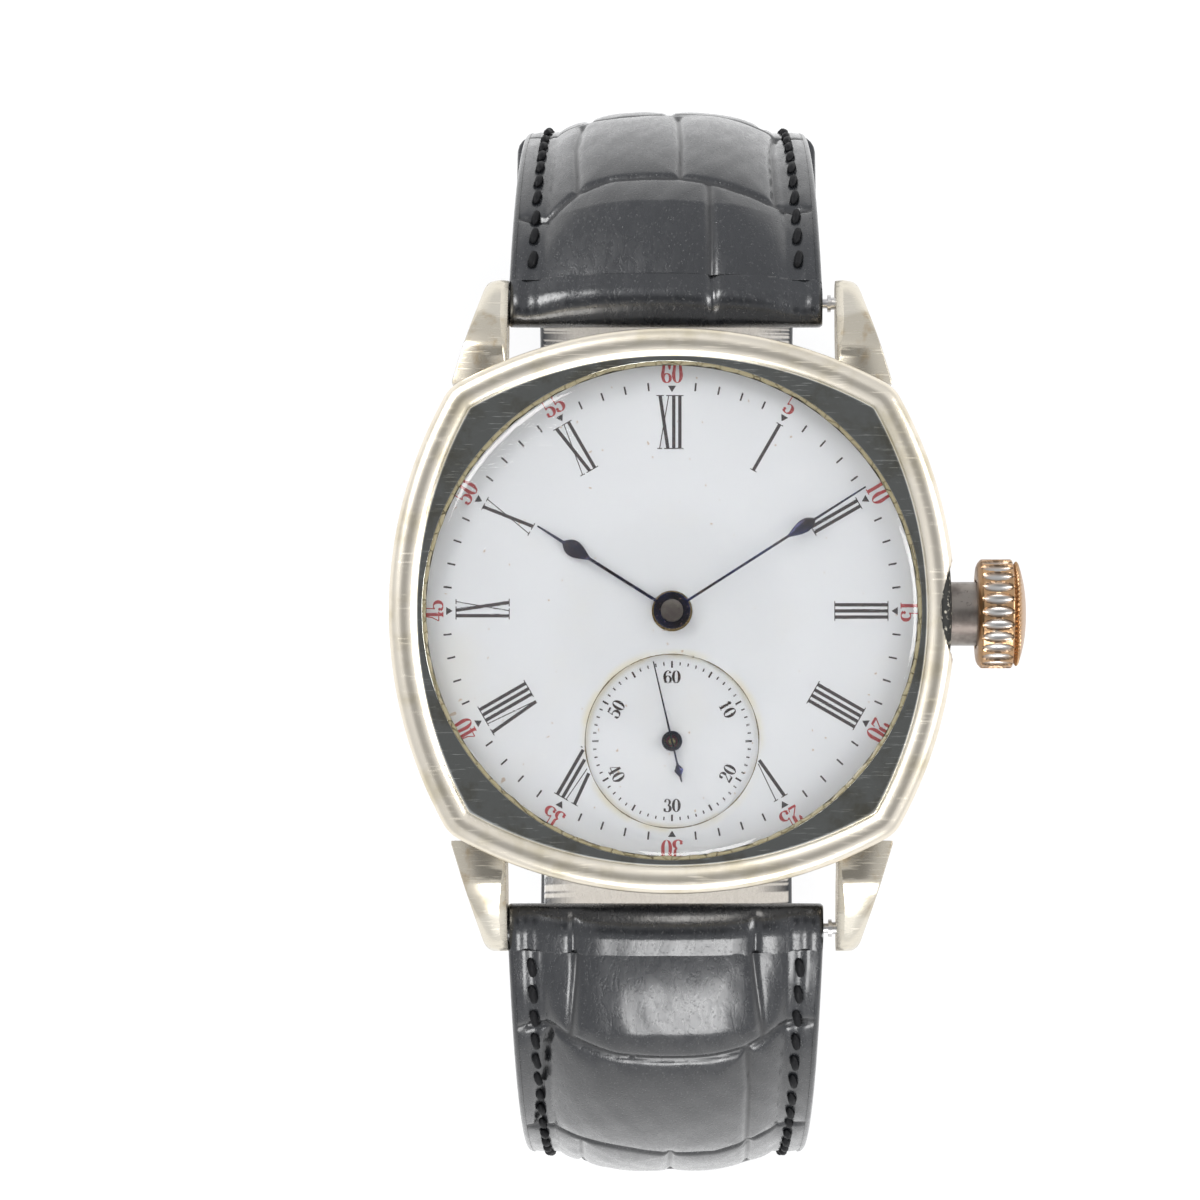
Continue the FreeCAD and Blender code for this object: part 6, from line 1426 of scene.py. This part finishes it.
def rounded_rectangle(half, low, high, radius, step=0.25):
    """Even points and outward directions round a rectangle whose corners are arcs."""
    spots, outs = [], []
    for turn, cx, cz in ((0, half, high), (90, -half, high), (180, -half, low), (270, half, low)):
        angle = np.radians(turn + np.linspace(0, 90, 10))
        centre = np.array([cx - math.copysign(radius, cx),
                           cz - radius if cz == high else cz + radius])
        out = np.stack([np.cos(angle), np.sin(angle)], -1)
        spots.append(centre + radius * out)
        outs.append(out)
    points, outs = np.concatenate(spots), np.concatenate(outs)
    closed = np.concatenate([points, points[:1]])
    distance = np.concatenate([[0], np.cumsum(np.hypot(*np.diff(closed, axis=0).T))])
    even = np.arange(0, distance[-1], step)
    outs = np.concatenate([outs, outs[:1]])
    return (np.stack([np.interp(even, distance, closed[:, i]) for i in (0, 1)], -1),
            np.stack([np.interp(even, distance, outs[:, i]) for i in (0, 1)], -1))


def keeper(half, low, high, centre, out, along):
    """The band's section is a rounded bar: thick outwards from the path, wide along the strap,
    each a small power of the cosine or the sine of an angle."""
    path, outs = rounded_rectangle(half + KEEPER_WALL / 2, low - KEEPER_WALL / 2,
                                   high + KEEPER_WALL / 2, KEEPER_ROUND)
    angle = np.linspace(0, 2 * math.pi, 36, endpoint=False)
    thick = KEEPER_WALL / 2 * np.sign(np.cos(angle)) * np.abs(np.cos(angle))**0.35
    wide = KEEPER_WIDTH / 2 * np.sign(np.sin(angle)) * np.abs(np.sin(angle))**0.16
    flat = path[:, None, :] + outs[:, None, :] * thick[None, :, None]
    axes = np.array([[1, 0, 0], out])
    return np.array(centre) + flat @ axes + wide[None, :, None] * np.array(along)


def keeper_piece(name, body, points, node):
    """A keeper of the strap's leather, face outwards all round."""
    made = piece(name, [(points, True, True)], body, leather_finish, sharp=60,
                 marks={"face": np.ones(points.shape[:2])})
    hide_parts(node)


fixed = keeper(END_WIDTH / 2 + 0.1, KEEPER_WALL, UPPER_LEVEL + THIN / 2 + 0.1,
               (STRAP_SHIFT, FLAT - KEEPER_WIDTH / 2 - 0.2, 0), (0, 0, 1), (0, 1, 0))
keeper_piece("keeper_sewn", "case", fixed, "fixed_keeper")

# %% [markdown]
# ## The free keeper
# It sits on the side of the loop, square to the line there, and slides. Its inner room is wider
# by the strap's bend over its travel, so that it clears the leather all the way.

# %% Free keeper
KEEPER_TURN, PLAY, SLIDE = 58.0, 0.35, 1.5
ky, kz, kout = side_line(1, UPPER_LEVEL, np.array([KEEPER_TURN]))
bend = (KEEPER_WIDTH / 2 + SLIDE)**2 / (2 * UPPER_SIDE)
reach = float(tail_offset(1 - KEEPER_TURN / TOP_TURN)) + THIN / 2 + 0.17 + PLAY
free = keeper(END_WIDTH / 2 + PLAY, -(EDGE / 2 + PLAY + bend), reach, (STRAP_SHIFT, ky[0], kz[0]),
              (0, *kout[0]), (0, -kout[0][1], kout[0][0]))
keeper_piece("keeper_loose", "free_keeper", free, "free_keeper")

# %% [markdown]
# ## Finishes of the pieces that keep their CAD shape
# The movement, the spring bars and the buckle keep their exact shapes, because they turn and
# seat on each other. Each gets the finish that a watch of this kind has there.

# %% Finishes by node
keeps = {
    plate: ["main_plate", "barrel_bridge", "train_bridge", "balance_cock", "pallet_bridge"],
    brass: ["centre_wheel", "third_wheel", "fourth_wheel", "hour_wheel", "minute_wheel",
            "mainspring_barrel", "balance_wheel"],
    steel: ["escape_wheel", "pallet_fork", "ratchet_wheel", "crown_wheel", "setting_wheel",
            "winding_pinion", "clutch", "setting_lever", "clutch_lever", "click", "click_spring",
            "barrel_arbor", "bridge_screws", "mainspring", "stem"],
    blued: ["hairspring"],
    patina: ["pendant_tube", "cannon_pinion"],
    satin: ["buckle_frame", "buckle_tongue", "buckle_bar", "spring_bar_upper", "spring_bar_lower",
            "bar_tip_upper_right", "bar_tip_upper_left", "bar_tip_lower_right", "bar_tip_lower_left"],
    jewel: ["jewels"],
    enamel_finish: ["dial", "seconds_dial"],
}
dressed = set()
for finish, names in keeps.items():
    for name in names:
        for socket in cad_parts[name].material_slots:
            socket.material = finish
        dressed.add(name)
print(len(dressed), "nodes keep their shape;", sorted(set(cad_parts) - dressed), "are replaced")

# %% [markdown]
# ## Camera
# The picture was taken from straight in front and a little from the 6 o'clock side. A long lens
# at a quarter of a metre gives the same slight perspective.

# %% Camera
scene = bpy.context.scene
ELEVATION = math.radians(87.5)
DISTANCE, VIEW_WIDTH = 0.26, 0.0644
aim = Vector((0, 0, (BACK + TOP) * MM))
eye = aim + Vector((0, -math.cos(ELEVATION), math.sin(ELEVATION))) * DISTANCE
camera_data = bpy.data.cameras.new("camera")
camera = bpy.data.objects.new("camera", camera_data)
scene.collection.objects.link(camera)
camera.location = eye
camera.rotation_euler = (aim - eye).to_track_quat("-Z", "Y").to_euler()
camera_data.sensor_width = 36.0
camera_data.lens = camera_data.sensor_width * DISTANCE / VIEW_WIDTH
camera_data.shift_x = -0.06
camera_data.shift_y = 0.0080
camera_data.clip_start = 0.01
camera_data.clip_end = 10.0
scene.camera = camera
scene.view_settings.view_transform = "Standard"
print(f"lens {camera_data.lens:.0f} mm, {math.degrees(ELEVATION)} degrees up")

# %% [markdown]
# ## Lamps
# Three soft square lamps at a plain level give the metal its long highlights.

# %% Lamps
AIM = Vector((0, 0, 0.05))


def lamp(name, place, size, power):
    """A soft square lamp turned to the watch."""
    data = bpy.data.lights.new(name, "AREA")
    data.shape = "SQUARE"
    data.size = size
    data.energy = power
    made = bpy.data.objects.new(name, data)
    made.location = place
    made.rotation_euler = (AIM - Vector(place)).to_track_quat("-Z", "Y").to_euler()
    scene.collection.objects.link(made)
    print(f"{name}: {power} W")


lamp("top_left", (-0.28, 0.30, 0.42), 0.25, 2.2)
lamp("right", (0.42, 0.05, 0.32), 0.22, 1.6)
lamp("front_low", (0.05, -0.42, 0.30), 0.20, 1.1)

# %% [markdown]
# ## World
# Light falls off towards the zenith: the camera's own dark side, which flat polished faces
# mirror, while sloping ones mirror the bright walls.

# %% World
WALL_LIGHT, ZENITH_LIGHT = 0.80, 0.16


def studio_world():
    """A strength that falls smoothly from the walls to the zenith with the direction's height."""
    world = bpy.data.worlds.new("studio")
    scene.world = world
    world.use_nodes = True
    tree = world.node_tree
    background = tree.nodes["Background"]
    coordinates = tree.nodes.new("ShaderNodeTexCoord")
    split = tree.nodes.new("ShaderNodeSeparateXYZ")
    tree.links.new(coordinates.outputs["Generated"], split.inputs[0])
    ramp = tree.nodes.new("ShaderNodeMapRange")
    ramp.interpolation_type = "SMOOTHSTEP"
    for label, value in (("From Min", 0.950), ("From Max", 0.984),
                         ("To Min", WALL_LIGHT), ("To Max", ZENITH_LIGHT)):
        ramp.inputs[label].default_value = value
    tree.links.new(split.outputs["Z"], ramp.inputs["Value"])
    tree.links.new(ramp.outputs["Result"], background.inputs["Strength"])
    background.inputs["Color"].default_value = (0.93, 0.95, 1.0, 1)


studio_world()
print(f"walls {WALL_LIGHT}, zenith {ZENITH_LIGHT}")

# %% [markdown]
# ## Floor
# The picture's background is white, so the floor is seen as white by the camera, by
# reflections and through the glass, while the lamps light it at a plain level.

# %% Floor
FLOOR_HALF, GLOW = 900, 0.72


def backdrop():
    """A wide plane whose colour is plain white to the camera and grey to the light it sends on."""
    mesh = bpy.data.meshes.new("floor")
    reach = FLOOR_HALF * MM
    mesh.from_pydata([(-reach, -reach, 0), (reach, -reach, 0), (-reach, reach, 0), (reach, reach, 0)],
                     [], [(0, 1, 3, 2)])
    floor = bpy.data.objects.new("floor", mesh)
    scene.collection.objects.link(floor)
    finish = Finish("white_floor", Roughness=0.9)
    paper = finish.noise((0.02, 0.02, 0.02))
    finish.colour(finish.blend(paper, (0.90, 0.90, 0.90), (0.93, 0.93, 0.93)))
    mesh.materials.append(finish.material)
    output = finish.tree.nodes["Material Output"]
    path = finish.add("ShaderNodeLightPath")
    glow = finish.add("ShaderNodeEmission")
    glow.inputs["Color"].default_value = (1, 1, 1, 1)
    bent = finish.maths("MAXIMUM", path.outputs["Is Glossy Ray"], path.outputs["Is Transmission Ray"])
    seen = finish.maths("MAXIMUM", path.outputs["Is Camera Ray"], bent)
    mix = finish.add("ShaderNodeMixShader")
    sources = (finish.maths("MULTIPLY", seen, GLOW), finish.shader.outputs[0], glow.outputs[0])
    for source, target in zip(sources, mix.inputs):
        finish.join(source, target)
    finish.join(mix.outputs[0], output.inputs["Surface"])


backdrop()
